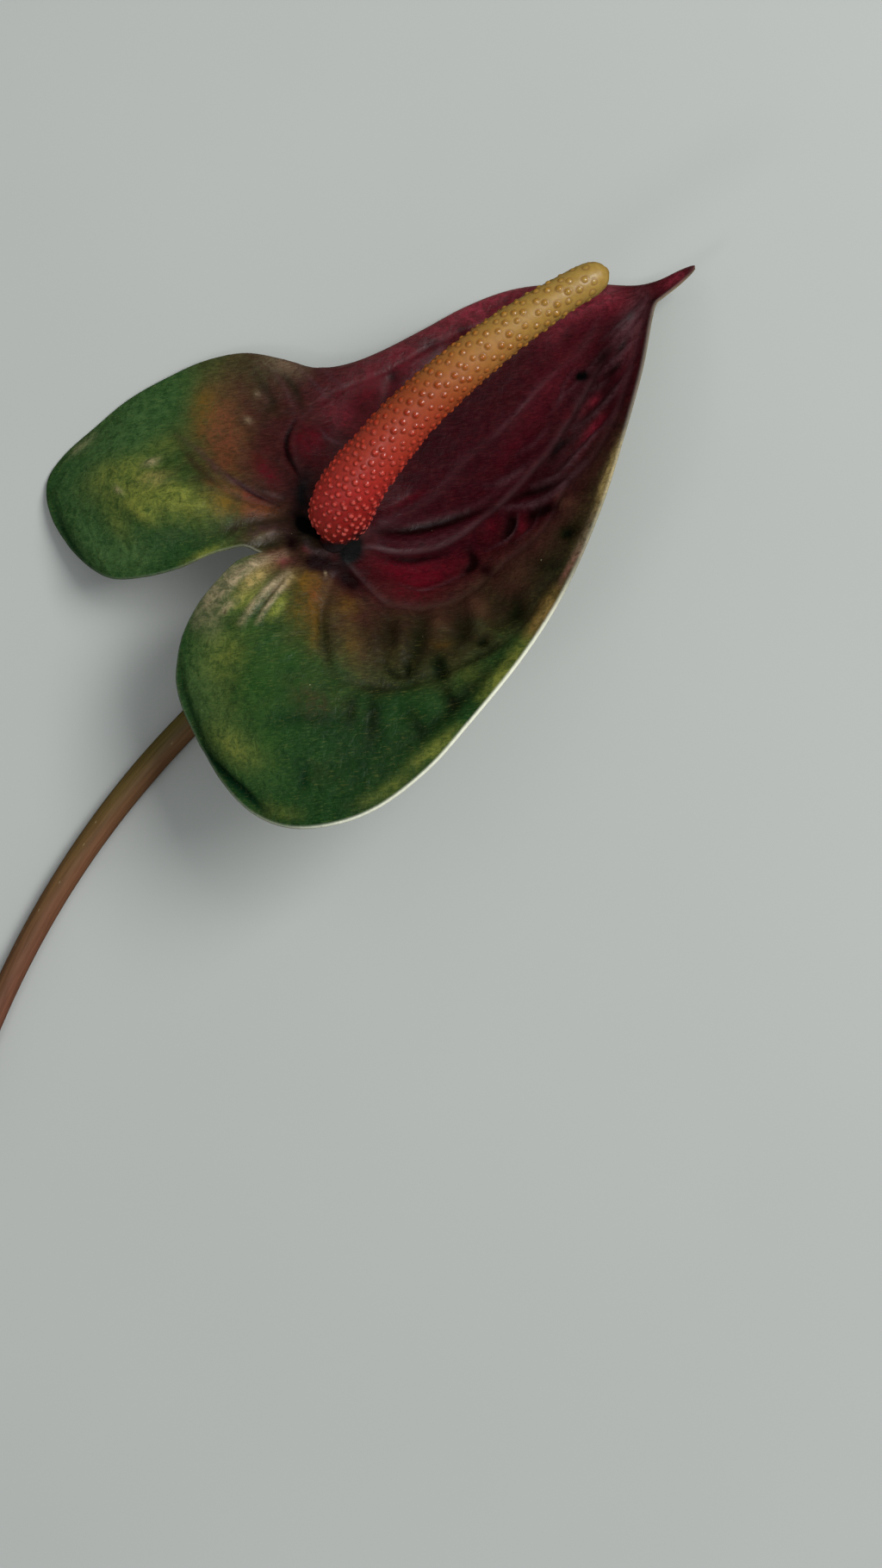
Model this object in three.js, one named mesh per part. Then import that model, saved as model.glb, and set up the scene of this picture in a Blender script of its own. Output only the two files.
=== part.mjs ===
// A cut anthurium stem that lies on a flat surface: the peduncle (the cut stem), the spathe (its
// heart-shaped bract) and the spadix (its flower spike). Millimetres, +Z up, surface at z = 0.
// The cut end lies towards -Y and the flower towards +Y. The origin is on the surface, under the
// middle of the whole stem.
//
// The stem lies along the surface and rises in a short neck to the joint, where the spathe sits
// across it and the spadix goes on. The spathe leans: its left lobe and the front of its low wing
// touch the surface, and its other wing stands up.
import * as THREE from "three";
import { LoftGeometry } from "three/addons/geometries/LoftGeometry.js";

const DEGREE = Math.PI / 180;

// The joint, where peduncle, spathe and spadix meet.
const JOINT = new THREE.Vector3(8.45, 158, 18);
const JOINT_HEADING = 62 * DEGREE; // plan direction of the stem's axis at the joint, from +X
const JOINT_RISE = 55 * DEGREE; // how steeply that axis climbs there
const JOINT_GAP = 0.4; // clear distance between pieces that meet at the joint

// Peduncle: [plan length, turn in degrees] from the joint to the cut end.
const PEDUNCLE_BENDS = [
  [8, -12.5],
  [30, -4],
  [57, 20],
  [85, 23.5],
  [205.3, 5],
];
// Its radius against the share of that length.
const PEDUNCLE_SHAPE = [
  [0, 2.35],
  [0.13, 2.3],
  [0.27, 2.05],
  [1, 2.5],
];
const PEDUNCLE_STEP = 6; // distance between its cross sections
const PEDUNCLE_LINE_STEP = 0.5; // distance between the points of its centre line
const PEDUNCLE_SIDES = 16;
const COLLAR_RADIUS = 3; // the neck widens to this under the spathe
const COLLAR_LENGTH = 7;
const CUT_SLANT = 28 * DEGREE; // the cut end is not quite square

// Spathe, in the flower's own plan: "along" runs from the joint to the tip, "across" to the low wing.
const FLOWER_HEADING = 37.5 * DEGREE; // plan direction of "along", from +X
const SPATHE_CENTRE_THICKNESS = 1.2;
const SPATHE_EDGE_THICKNESS = 0.5;
const SPATHE_HUB_RADIUS = 2.8; // flat patch at the joint
const RAY_BEND = 0.65; // share of its reach at which a ray turns from its heading to its end
const HUB_PAD_INSET = 0.1; // the share by which the patch is smaller than its ring
const HUB_PAD_RISE = 0.03; // the patch stands proud by this on both faces
const COLUMNS_PER_SPAN = 2; // sections between two margin points
const SPATHE_RINGS = 7; // rings between the hub and the margin
const SLOPE_STEP = 1e-3; // share of the sheet over which its slope is taken

// Margin, once round from the notch: [along, across, height, heading]. Heading is the direction, in
// degrees, in which the ray that ends there leaves the joint.
const MARGIN = [
  [-10.2, 5.8, 20.3, 147],
  [-11.6, 8.3, 20.2, 138],
  [-14.5, 9.9, 19.8, 132],
  [-17.7, 11.1, 19, 127.5],
  [-22.4, 12.5, 17, 124],
  [-28, 15.2, 14, 121.5],
  [-32.6, 18.6, 11, 120],
  [-35, 23, 8.5, 119],
  [-36.1, 28.5, 5.8, 118],
  [-35.2, 34.8, 2.8, 117],
  [-32.2, 40, 0.8, 115.5],
  [-27.4, 42, 0.3, 113],
  [-20.2, 42.6, 0.3, 109.5],
  [-12.2, 42.8, 0.8, 103],
  [-4, 41.5, 1.5, 95],
  [2.5, 39.8, 2, 86],
  [8.6, 36.6, 2.5, 77],
  [13.1, 31.6, 3.3, 67],
  [16.4, 27.2, 3.8, 59],
  [20.9, 24.4, 3.8, 50],
  [27, 22.6, 3.3, 40],
  [35.2, 21.3, 2, 31],
  [43.8, 20.1, 0.7, 25],
  [51.6, 17.8, 0.3, 19],
  [58.2, 14, 0.6, 14],
  [65, 8.5, 2, 7.5],
  [69.8, 4.4, 3, 4.4],
  [72.8, 2.8, 5, 2.9],
  [76.3, 1.8, 7.2, 2.1],
  [78.2, 0.9, 9, 1.4],
  [77.5, 0.3, 8.9, 1],
  [74.3, 0, 8.6, 0.6],
  [70.9, -0.1, 9.4, 0.2],
  [68.8, -0.4, 11, -0.5],
  [66, -2.4, 13.5, -1.7],
  [59, -8.4, 18, -8],
  [49.9, -15.1, 23, -17],
  [39.6, -22.2, 28, -29],
  [29.4, -28.1, 32, -44],
  [21, -32, 35, -57],
  [11.4, -35.2, 38, -72],
  [-0.3, -38, 40.3, -90],
  [-9.6, -39.8, 40.8, -103],
  [-19.4, -39.9, 39.8, -116],
  [-27, -37.8, 38, -126],
  [-33.6, -33.5, 34.5, -135],
  [-37.2, -27.4, 31, -144],
  [-38.4, -19.3, 27.5, -153],
  [-37.5, -11.2, 24.5, -163],
  [-35, -3.8, 22.6, -173],
  [-29.8, 1.8, 22.3, -182],
  [-24.2, 4.8, 22.8, -190],
  [-19, 6.2, 22.6, -197],
  [-14, 6.9, 21.6, -205],
  [-10.2, 5.8, 20.3, -213],
];

// Heights inside the margin: [along, across, height].
const TROUGH = [
  [9, -1.5, 11.5],
  [20, -2.5, 8.5],
  [33, -1.5, 7],
  [46, 0.5, 5.6],
  [58, 1.8, 5],
  [67, 1.8, 5.6],
];
const WINGS = [
  [20, 11, 5.2],
  [35, 10, 3.6],
  [48, 9, 2.4],
  [10, -20, 22],
  [21, -17, 17],
  [33, -13, 14],
  [46, -8, 11.5],
];
const LOBES = [
  [-12, 18, 18],
  [-20, 24, 15.5],
  [-22, 33, 10],
  [-8, 30, 9.5],
  [0, 25, 9],
  [5, 14, 11],
  [-10, -12, 27.5],
  [-20, -8, 29],
  [-22, -22, 34.5],
  [-8, -26, 34],
  [-30, -14, 30],
];
const HUB_PIN_RADIUS = 3.4;
const HUB_PINS = 6;

// Spadix: its centre line in the flower's plan [along, across, height], and its radius against the
// share of its length, stalk included.
const SPADIX_LINE = [
  [2.6, 1.3, 22.4],
  [4.9, 3.1, 25.6],
  [9.2, 4.7, 29.4],
  [14.7, 5.8, 32.8],
  [20.7, 6.9, 35.6],
  [27.3, 7.5, 37.9],
  [34.4, 7.8, 39.4],
  [42.2, 7.8, 40.4],
  [48.9, 7.4, 40.8],
  [54.7, 6.8, 40.8],
  [61.1, 5.8, 40.4],
];
const SPADIX_SHAPE = [
  [0, 2.2],
  [0.035, 2.2],
  [0.05, 3.4],
  [0.07, 4.5],
  [0.1, 5.3],
  [0.14, 5.5],
  [0.2, 5.3],
  [0.3, 4.9],
  [0.45, 4.45],
  [0.6, 4.1],
  [0.75, 3.65],
  [0.88, 3.2],
  [0.93, 3],
  [0.96, 2.75],
  [0.98, 2.3],
  [0.993, 1.5],
  [1, 0.4],
];
const SPADIX_SIDES = 20;
const SPADIX_SECTIONS = 30;

const up = new THREE.Vector3(0, 0, 1);
const jointAxis = new THREE.Vector3(
  Math.cos(JOINT_RISE) * Math.cos(JOINT_HEADING),
  Math.cos(JOINT_RISE) * Math.sin(JOINT_HEADING),
  Math.sin(JOINT_RISE),
);

// A point of the flower's own plan, at that height, in the part's frame.
function flowerPoint(along, across, height) {
  return new THREE.Vector3(along, across, height)
    .applyAxisAngle(up, FLOWER_HEADING)
    .add(new THREE.Vector3(JOINT.x, JOINT.y, 0));
}

// The joint, moved along the stem's axis.
function jointPoint(distance) {
  return JOINT.clone().addScaledVector(jointAxis, distance);
}

// Solves a linear system, given as rows that end in the right-hand side.
function solveRows(rows) {
  const size = rows.length;
  for (let column = 0; column < size; column++) {
    let pivot = column;
    for (let row = column + 1; row < size; row++)
      if (Math.abs(rows[row][column]) > Math.abs(rows[pivot][column])) pivot = row;
    [rows[column], rows[pivot]] = [rows[pivot], rows[column]];
    for (let row = 0; row < size; row++) {
      if (row === column) continue;
      const factor = rows[row][column] / rows[column][column];
      for (let k = column; k <= size; k++) rows[row][k] -= factor * rows[column][k];
    }
  }
  return rows.map((row, k) => row[size] / row[k]);
}

// A thin elastic sheet through pins [along, across, height] (a thin-plate spline).
function sheetThrough(pins) {
  const bend = (a, b) => {
    const squared = (a[0] - b[0]) ** 2 + (a[1] - b[1]) ** 2;
    return squared > 0 ? squared * Math.log(squared) : 0;
  };
  const rows = pins.map((p) => [...pins.map((q) => bend(p, q)), 1, p[0], p[1], p[2]]);
  for (const weight of [() => 1, (q) => q[0], (q) => q[1]])
    rows.push([...pins.map(weight), 0, 0, 0, 0]);
  const solved = solveRows(rows);
  const [level, slopeAlong, slopeAcross] = solved.slice(pins.length);
  return (along, across) =>
    pins.reduce(
      (sum, pin, k) => sum + solved[k] * bend(pin, [along, across]),
      level + slopeAlong * along + slopeAcross * across,
    );
}

// The pins round the joint hold the sheet square to the stem's axis.
function hubPins() {
  const heading = JOINT_HEADING - FLOWER_HEADING;
  const fall = HUB_PIN_RADIUS / Math.tan(JOINT_RISE);
  return Array.from({ length: HUB_PINS }, (_, k) => {
    const angle = (k / HUB_PINS) * 2 * Math.PI + heading;
    return [
      HUB_PIN_RADIUS * Math.cos(angle),
      HUB_PIN_RADIUS * Math.sin(angle),
      JOINT.z - fall * Math.cos(angle - heading),
    ];
  });
}

// The middle surface of the spathe: a ring position and a share of the way out give a point.
function spatheSurface() {
  const margin = MARGIN.slice(0, -1);
  const pins = [...margin, ...TROUGH, ...WINGS, ...LOBES, ...hubPins()];
  const height = sheetThrough(pins.map((pin) => pin.slice(0, 3)));
  const outline = new THREE.CatmullRomCurve3(
    MARGIN.map(([along, across, , heading]) => new THREE.Vector3(along, across, heading)),
    false,
    "catmullrom",
    0.5,
  );
  return (round, out) => {
    const end = outline.getPoint(round);
    const heading = end.z * DEGREE;
    const reach = Math.hypot(end.x, end.y);
    const leave = new THREE.Vector2(Math.cos(heading), Math.sin(heading));
    const ray = new THREE.QuadraticBezierCurve(
      leave.clone().multiplyScalar(SPATHE_HUB_RADIUS),
      leave.clone().multiplyScalar(RAY_BEND * reach),
      new THREE.Vector2(end.x, end.y),
    );
    const plan = ray.getPoint(out);
    return flowerPoint(plan.x, plan.y, height(plan.x, plan.y));
  };
}

// The rim of the patch that closes the sheet at the joint, drawn in a little from its ring.
function hubPad(ring, rise) {
  const centre = ring
    .reduce((sum, point) => sum.add(point), new THREE.Vector3())
    .divideScalar(ring.length);
  return ring.map((point) =>
    point.clone().lerp(centre, HUB_PAD_INSET).addScaledVector(jointAxis, rise),
  );
}

function makeSpathe() {
  const surface = spatheSurface();
  const columns = (MARGIN.length - 1) * COLUMNS_PER_SPAN;
  const upperRings = [];
  const lowerRings = [];
  for (let ring = 0; ring <= SPATHE_RINGS; ring++) {
    const out = ring / SPATHE_RINGS;
    const half = THREE.MathUtils.lerp(SPATHE_CENTRE_THICKNESS, SPATHE_EDGE_THICKNESS, out) / 2;
    const upper = [];
    const lower = [];
    for (let column = 0; column < columns; column++) {
      const round = column / columns;
      const point = surface(round, out);
      const inner = surface(round, Math.max(out - SLOPE_STEP, 0));
      const before = surface(Math.max(round - SLOPE_STEP, 0), out);
      const outward = surface(round, out + SLOPE_STEP).sub(inner);
      const sideways = surface(round + SLOPE_STEP, out).sub(before);
      const normal = outward.cross(sideways).normalize();
      normal.multiplyScalar(half * Math.sign(normal.z));
      upper.push(point.clone().add(normal));
      lower.push(point.clone().sub(normal));
    }
    upperRings.push(upper);
    lowerRings.unshift(lower);
  }
  const rings = [
    hubPad(upperRings[0], HUB_PAD_RISE),
    ...upperRings,
    ...lowerRings,
    hubPad(lowerRings[SPATHE_RINGS], -HUB_PAD_RISE),
  ];
  const geometry = new LoftGeometry(rings, { closed: true, capStart: true, capEnd: true });
  const material = new THREE.MeshStandardMaterial({ color: 0x4a1a20, roughness: 0.3 });
  return namedMesh("spathe", geometry, material);
}

// The radius at a share of a piece's length, on straight stretches between the listed ones.
function radiusAt(shape, share) {
  const next = Math.max(shape.findIndex(([at]) => at >= share), 1);
  const [from, narrow] = shape[next - 1];
  const [to, wide] = shape[next];
  return THREE.MathUtils.mapLinear(share, from, to, narrow, wide);
}

// A circle of points round a centre, square to the direction, as seen with it pointing at the eye.
function ringRound(centre, direction, radius, sides) {
  const side = new THREE.Vector3().crossVectors(up, direction).normalize();
  const top = new THREE.Vector3().crossVectors(direction, side);
  return Array.from({ length: sides }, (_, k) => {
    const angle = (k / sides) * 2 * Math.PI;
    return centre
      .clone()
      .addScaledVector(side, radius * Math.cos(angle))
      .addScaledVector(top, radius * Math.sin(angle));
  });
}

// The peduncle's centre line from the joint to the cut end: at each step its point, direction,
// radius and distance from the joint.
function peduncleLine() {
  const start = jointPoint(-(SPATHE_CENTRE_THICKNESS / 2 + JOINT_GAP));
  const topRadius = radiusAt(PEDUNCLE_SHAPE, 0);
  const drop = start.z - topRadius;
  const neck = (drop * JOINT_RISE) / (1 - Math.cos(JOINT_RISE));
  const planLength = PEDUNCLE_BENDS.reduce((sum, [length]) => sum + length, 0);
  const step = PEDUNCLE_LINE_STEP;
  const line = [];
  const point = start.clone();
  let heading = JOINT_HEADING + Math.PI;
  let travelled = 0;
  let plan = 0;
  for (const [length, turn] of PEDUNCLE_BENDS) {
    const end = plan + length;
    while (plan < end) {
      const rise = JOINT_RISE * Math.max(1 - (travelled + step / 2) / neck, 0);
      const direction = new THREE.Vector3(
        Math.cos(rise) * Math.cos(heading),
        Math.cos(rise) * Math.sin(heading),
        -Math.sin(rise),
      );
      const radius = radiusAt(PEDUNCLE_SHAPE, plan / planLength);
      const centre = point.clone();
      centre.z += radius - topRadius; // the stem lies on the surface all along
      line.push({ centre, direction, radius, travelled });
      point.addScaledVector(direction, step);
      travelled += step;
      plan += step * Math.cos(rise);
      heading += (turn * DEGREE * step * Math.cos(rise)) / length;
    }
  }
  return line;
}

function makePeduncle() {
  const line = peduncleLine();
  const last = line[line.length - 1];
  const sections = Math.round(last.travelled / PEDUNCLE_STEP);
  const rings = [];
  for (let k = 0; k <= sections; k++) {
    const at = line[Math.round((k / sections) * (line.length - 1))];
    const flare = Math.max(1 - at.travelled / COLLAR_LENGTH, 0) ** 2;
    const radius = at.radius + (COLLAR_RADIUS - at.radius) * flare;
    rings.push(ringRound(at.centre, at.direction, radius, PEDUNCLE_SIDES));
  }
  const slope = Math.tan(CUT_SLANT);
  for (const corner of rings[sections]) {
    const high = corner.z - last.centre.z;
    corner.addScaledVector(last.direction, -high * slope);
  }
  const geometry = new LoftGeometry(rings, { closed: true, capStart: true, capEnd: true });
  const material = new THREE.MeshStandardMaterial({ color: 0x6a5038, roughness: 0.5 });
  return namedMesh("peduncle", geometry, material);
}

function makeSpadix() {
  const foot = jointPoint(SPATHE_CENTRE_THICKNESS / 2 + JOINT_GAP);
  const line = new THREE.CatmullRomCurve3([
    foot,
    ...SPADIX_LINE.map(([along, across, height]) => flowerPoint(along, across, height)),
  ]);
  const shares = new Set(SPADIX_SHAPE.map(([share]) => share));
  for (let k = 0; k <= SPADIX_SECTIONS; k++) shares.add(k / SPADIX_SECTIONS);
  const rings = [...shares]
    .sort((a, b) => a - b)
    .map((share) =>
      ringRound(
        line.getPointAt(share),
        line.getTangentAt(share),
        radiusAt(SPADIX_SHAPE, share),
        SPADIX_SIDES,
      ),
    );
  const geometry = new LoftGeometry(rings, { closed: true, capStart: true, capEnd: true });
  const material = new THREE.MeshStandardMaterial({ color: 0xb4622e, roughness: 0.45 });
  return namedMesh("spadix", geometry, material);
}

function namedMesh(name, geometry, material) {
  const mesh = new THREE.Mesh(geometry, material);
  mesh.name = name;
  return mesh;
}

const stem = new THREE.Group();
stem.add(makePeduncle(), makeSpathe(), makeSpadix());

export default stem;
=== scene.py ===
"""A cut anthurium stem that lies on a pale surface, seen from straight above.

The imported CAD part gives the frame. Each of its three nodes is replaced by one detailed piece with
the same driving shape: the peduncle with its cut end, the veined and folded spathe, and the spadix
with its nubs. Lengths are in millimetres, as in the CAD part, until a mesh is made.
"""

import math

import bmesh
import bpy
import numpy as np
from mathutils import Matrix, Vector, kdtree


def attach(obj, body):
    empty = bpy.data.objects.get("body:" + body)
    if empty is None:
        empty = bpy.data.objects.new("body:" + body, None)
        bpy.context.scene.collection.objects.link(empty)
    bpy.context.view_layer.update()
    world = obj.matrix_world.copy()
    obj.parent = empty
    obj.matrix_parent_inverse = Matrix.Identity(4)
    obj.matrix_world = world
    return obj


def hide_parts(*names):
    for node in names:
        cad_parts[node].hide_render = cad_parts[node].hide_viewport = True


METRES = 0.001
SEED = 7
CURVE_STEPS = 40  # for each point of a curve, where its length is measured

# -------- driving shape, as in the CAD part

JOINT = np.array([8.45, 158.0, 18.0])
JOINT_HEADING = math.radians(62)
JOINT_RISE = math.radians(55)
JOINT_GAP = 0.4

# Bends: length seen from above and turn in degrees. Shapes: radius against the share of the length.
PEDUNCLE_BENDS = [(8, -12.5), (30, -4), (57, 20), (85, 23.5), (205.3, 5)]
PEDUNCLE_SHAPE = [(0, 2.35), (0.13, 2.3), (0.27, 2.05), (1, 2.5)]
PEDUNCLE_LINE_STEP = 0.5
COLLAR_RADIUS = 3.0
COLLAR_LENGTH = 7.0
CUT_SLANT = math.radians(28)

FLOWER_HEADING = math.radians(37.5)
SPATHE_CENTRE_THICKNESS = 1.2
SPATHE_EDGE_THICKNESS = 0.5
SPATHE_HUB_RADIUS = 2.8
RAY_BEND = 0.65
HUB_PIN_RADIUS = 3.4
HUB_PINS = 6

# Margin, once round from the notch: along, across, height, heading of its ray in degrees.
MARGIN = np.array([
    (-10.2, 5.8, 20.3, 147), (-11.6, 8.3, 20.2, 138), (-14.5, 9.9, 19.8, 132), (-17.7, 11.1, 19, 127.5),
    (-22.4, 12.5, 17, 124), (-28, 15.2, 14, 121.5), (-32.6, 18.6, 11, 120), (-35, 23, 8.5, 119),
    (-36.1, 28.5, 5.8, 118), (-35.2, 34.8, 2.8, 117), (-32.2, 40, 0.8, 115.5), (-27.4, 42, 0.3, 113),
    (-20.2, 42.6, 0.3, 109.5), (-12.2, 42.8, 0.8, 103), (-4, 41.5, 1.5, 95), (2.5, 39.8, 2, 86),
    (8.6, 36.6, 2.5, 77), (13.1, 31.6, 3.3, 67), (16.4, 27.2, 3.8, 59), (20.9, 24.4, 3.8, 50),
    (27, 22.6, 3.3, 40), (35.2, 21.3, 2, 31), (43.8, 20.1, 0.7, 25), (51.6, 17.8, 0.3, 19),
    (58.2, 14, 0.6, 14), (65, 8.5, 2, 7.5), (69.8, 4.4, 3, 4.4), (72.8, 2.8, 5, 2.9),
    (76.3, 1.8, 7.2, 2.1), (78.2, 0.9, 9, 1.4), (77.5, 0.3, 8.9, 1), (74.3, 0, 8.6, 0.6),
    (70.9, -0.1, 9.4, 0.2), (68.8, -0.4, 11, -0.5), (66, -2.4, 13.5, -1.7), (59, -8.4, 18, -8),
    (49.9, -15.1, 23, -17), (39.6, -22.2, 28, -29), (29.4, -28.1, 32, -44), (21, -32, 35, -57),
    (11.4, -35.2, 38, -72), (-0.3, -38, 40.3, -90), (-9.6, -39.8, 40.8, -103), (-19.4, -39.9, 39.8, -116),
    (-27, -37.8, 38, -126), (-33.6, -33.5, 34.5, -135), (-37.2, -27.4, 31, -144),
    (-38.4, -19.3, 27.5, -153), (-37.5, -11.2, 24.5, -163), (-35, -3.8, 22.6, -173),
    (-29.8, 1.8, 22.3, -182), (-24.2, 4.8, 22.8, -190), (-19, 6.2, 22.6, -197), (-14, 6.9, 21.6, -205),
    (-10.2, 5.8, 20.3, -213),
])
TIP_POINT = 29  # where in that list the tip of the spathe is

# Heights inside the margin: along, across, height.
INNER_PINS = np.array([
    (9, -1.5, 11.5), (20, -2.5, 8.5), (33, -1.5, 7), (46, 0.5, 5.6), (58, 1.8, 5), (67, 1.8, 5.6),
    (20, 11, 5.2), (35, 10, 3.6), (48, 9, 2.4), (10, -20, 22), (21, -17, 17), (33, -13, 14),
    (46, -8, 11.5), (-12, 18, 18), (-20, 24, 15.5), (-22, 33, 10), (-8, 30, 9.5), (0, 25, 9), (5, 14, 11),
    (-10, -12, 27.5), (-20, -8, 29), (-22, -22, 34.5), (-8, -26, 34), (-30, -14, 30),
])

SPADIX_LINE = [
    (2.6, 1.3, 22.4), (4.9, 3.1, 25.6), (9.2, 4.7, 29.4), (14.7, 5.8, 32.8), (20.7, 6.9, 35.6),
    (27.3, 7.5, 37.9), (34.4, 7.8, 39.4), (42.2, 7.8, 40.4), (48.9, 7.4, 40.8), (54.7, 6.8, 40.8),
    (61.1, 5.8, 40.4),
]
SPADIX_SHAPE = [
    (0, 2.2), (0.035, 2.2), (0.05, 3.4), (0.07, 4.5), (0.1, 5.3), (0.14, 5.5), (0.2, 5.3), (0.3, 4.9),
    (0.45, 4.45), (0.6, 4.1), (0.75, 3.65), (0.88, 3.2), (0.93, 3), (0.96, 2.75), (0.98, 2.3),
    (0.993, 1.5), (1, 0.4),
]

# -------- spathe's own detail

SPATHE_COLUMNS = 500
SPATHE_TOP_RINGS = 148
SPATHE_UNDER_RINGS = 32
MARGIN_STEPS = 4000  # where the margin's length is measured
EDGE_ROUNDING = 3  # rings round the rim
HUB_INNER_RADIUS = 0.7  # of the flat caps at the joint
HUB_RINGS = 6
MARK_FADE = 0.35  # the share of a mark over which it rises and falls at its ends
MARK_END = 0.35  # how strong it still is at its very ends
MARK_REACH = 3  # a vein or mark ends this many half widths from its line
STROKE_STEPS = 6  # straight stretches for each point of a vein or mark
VEIN_THINNING = 0.55  # the share of its depth that a vein loses on its way
FULL_VEIN = 0.35  # the depth at which a vein has all its colour

# The picture that the points below were picked in, in its pixels, 1024 by 1820.
PICTURE_CENTRE = (512, 910)
PICTURE_FOCAL = 3200  # the camera's focal length
START_LEVEL = 15.0  # where the search for the spathe's height starts
LEVEL_STEPS = 60

FAR = 100  # further than any point of the spathe is from its margin
POINTS_AT_ONCE = 8000  # keeps the sheet's sums small
LEAST_SQUARE = 1e-12  # keeps the logarithm of a squared distance finite

# Veins: depth of the groove, its half width, then where it runs, as along and across.
VEINS = {
    "midrib": (0.1, 0.9, [
        (4.7, -1.9), (12, -3), (20.1, -3.4), (27.3, -1.9), (38.4, -1), (48.9, 1.1), (58.8, 2),
        (68.5, 1.8),
    ]),
    "outer": (0.3, 0.8, [
        (-3.2, -4.8), (-7, -7.6), (-11.2, -12.2), (-13.1, -16.5), (-12.7, -19.7), (-9.4, -23.6),
        (-4.9, -26.8), (1.2, -28.6), (6.8, -29.9), (13.1, -30.9), (20, -29.4),
    ]),
    "low_first": (0.15, 0.6, [
        (2.6, 5.4), (8, 9.8), (16, 12.2), (28, 12.8), (40, 11.4), (52, 8.8), (62, 5.8), (69, 3.6),
    ]),
    "low_second": (0.12, 0.5, [
        (1.5, 9), (4.2, 16), (8, 20.5), (16, 21.6), (26, 19.2), (38, 17.6), (50, 13.8), (60, 9),
        (67, 5.4),
    ]),
    "lobe": (0.25, 0.6, [(-2.2, 11.1), (-6.5, 17.4), (-9.1, 21), (-14, 24), (-22, 28)]),
}

# The two veins that show best: depth, half width, where they start, as along and across, and
# where they run in the picture.
SEEN_VEINS = {
    "first": (0.35, 0.5, (2.2, -3), [
        (430, 637), (450, 642), (470, 643), (490, 641), (515, 634), (540, 620), (560, 603),
        (577, 590), (592, 576), (607, 560), (622, 543), (637, 525), (650, 506), (663, 486),
        (672, 470), (681, 455), (688, 441), (694, 430), (708, 406), (723.5, 389), (743, 366.5),
        (752.5, 349.5),
    ]),
    "second": (0.3, 0.5, (-0.3, -4), [
        (425, 680), (450, 701), (485, 707), (520, 702), (548, 688), (570, 668), (597, 645),
        (628, 620), (646, 590), (660, 560), (688, 532), (710, 495), (726, 450), (739.5, 400.5),
        (752, 355.5),
    ]),
}

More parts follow.
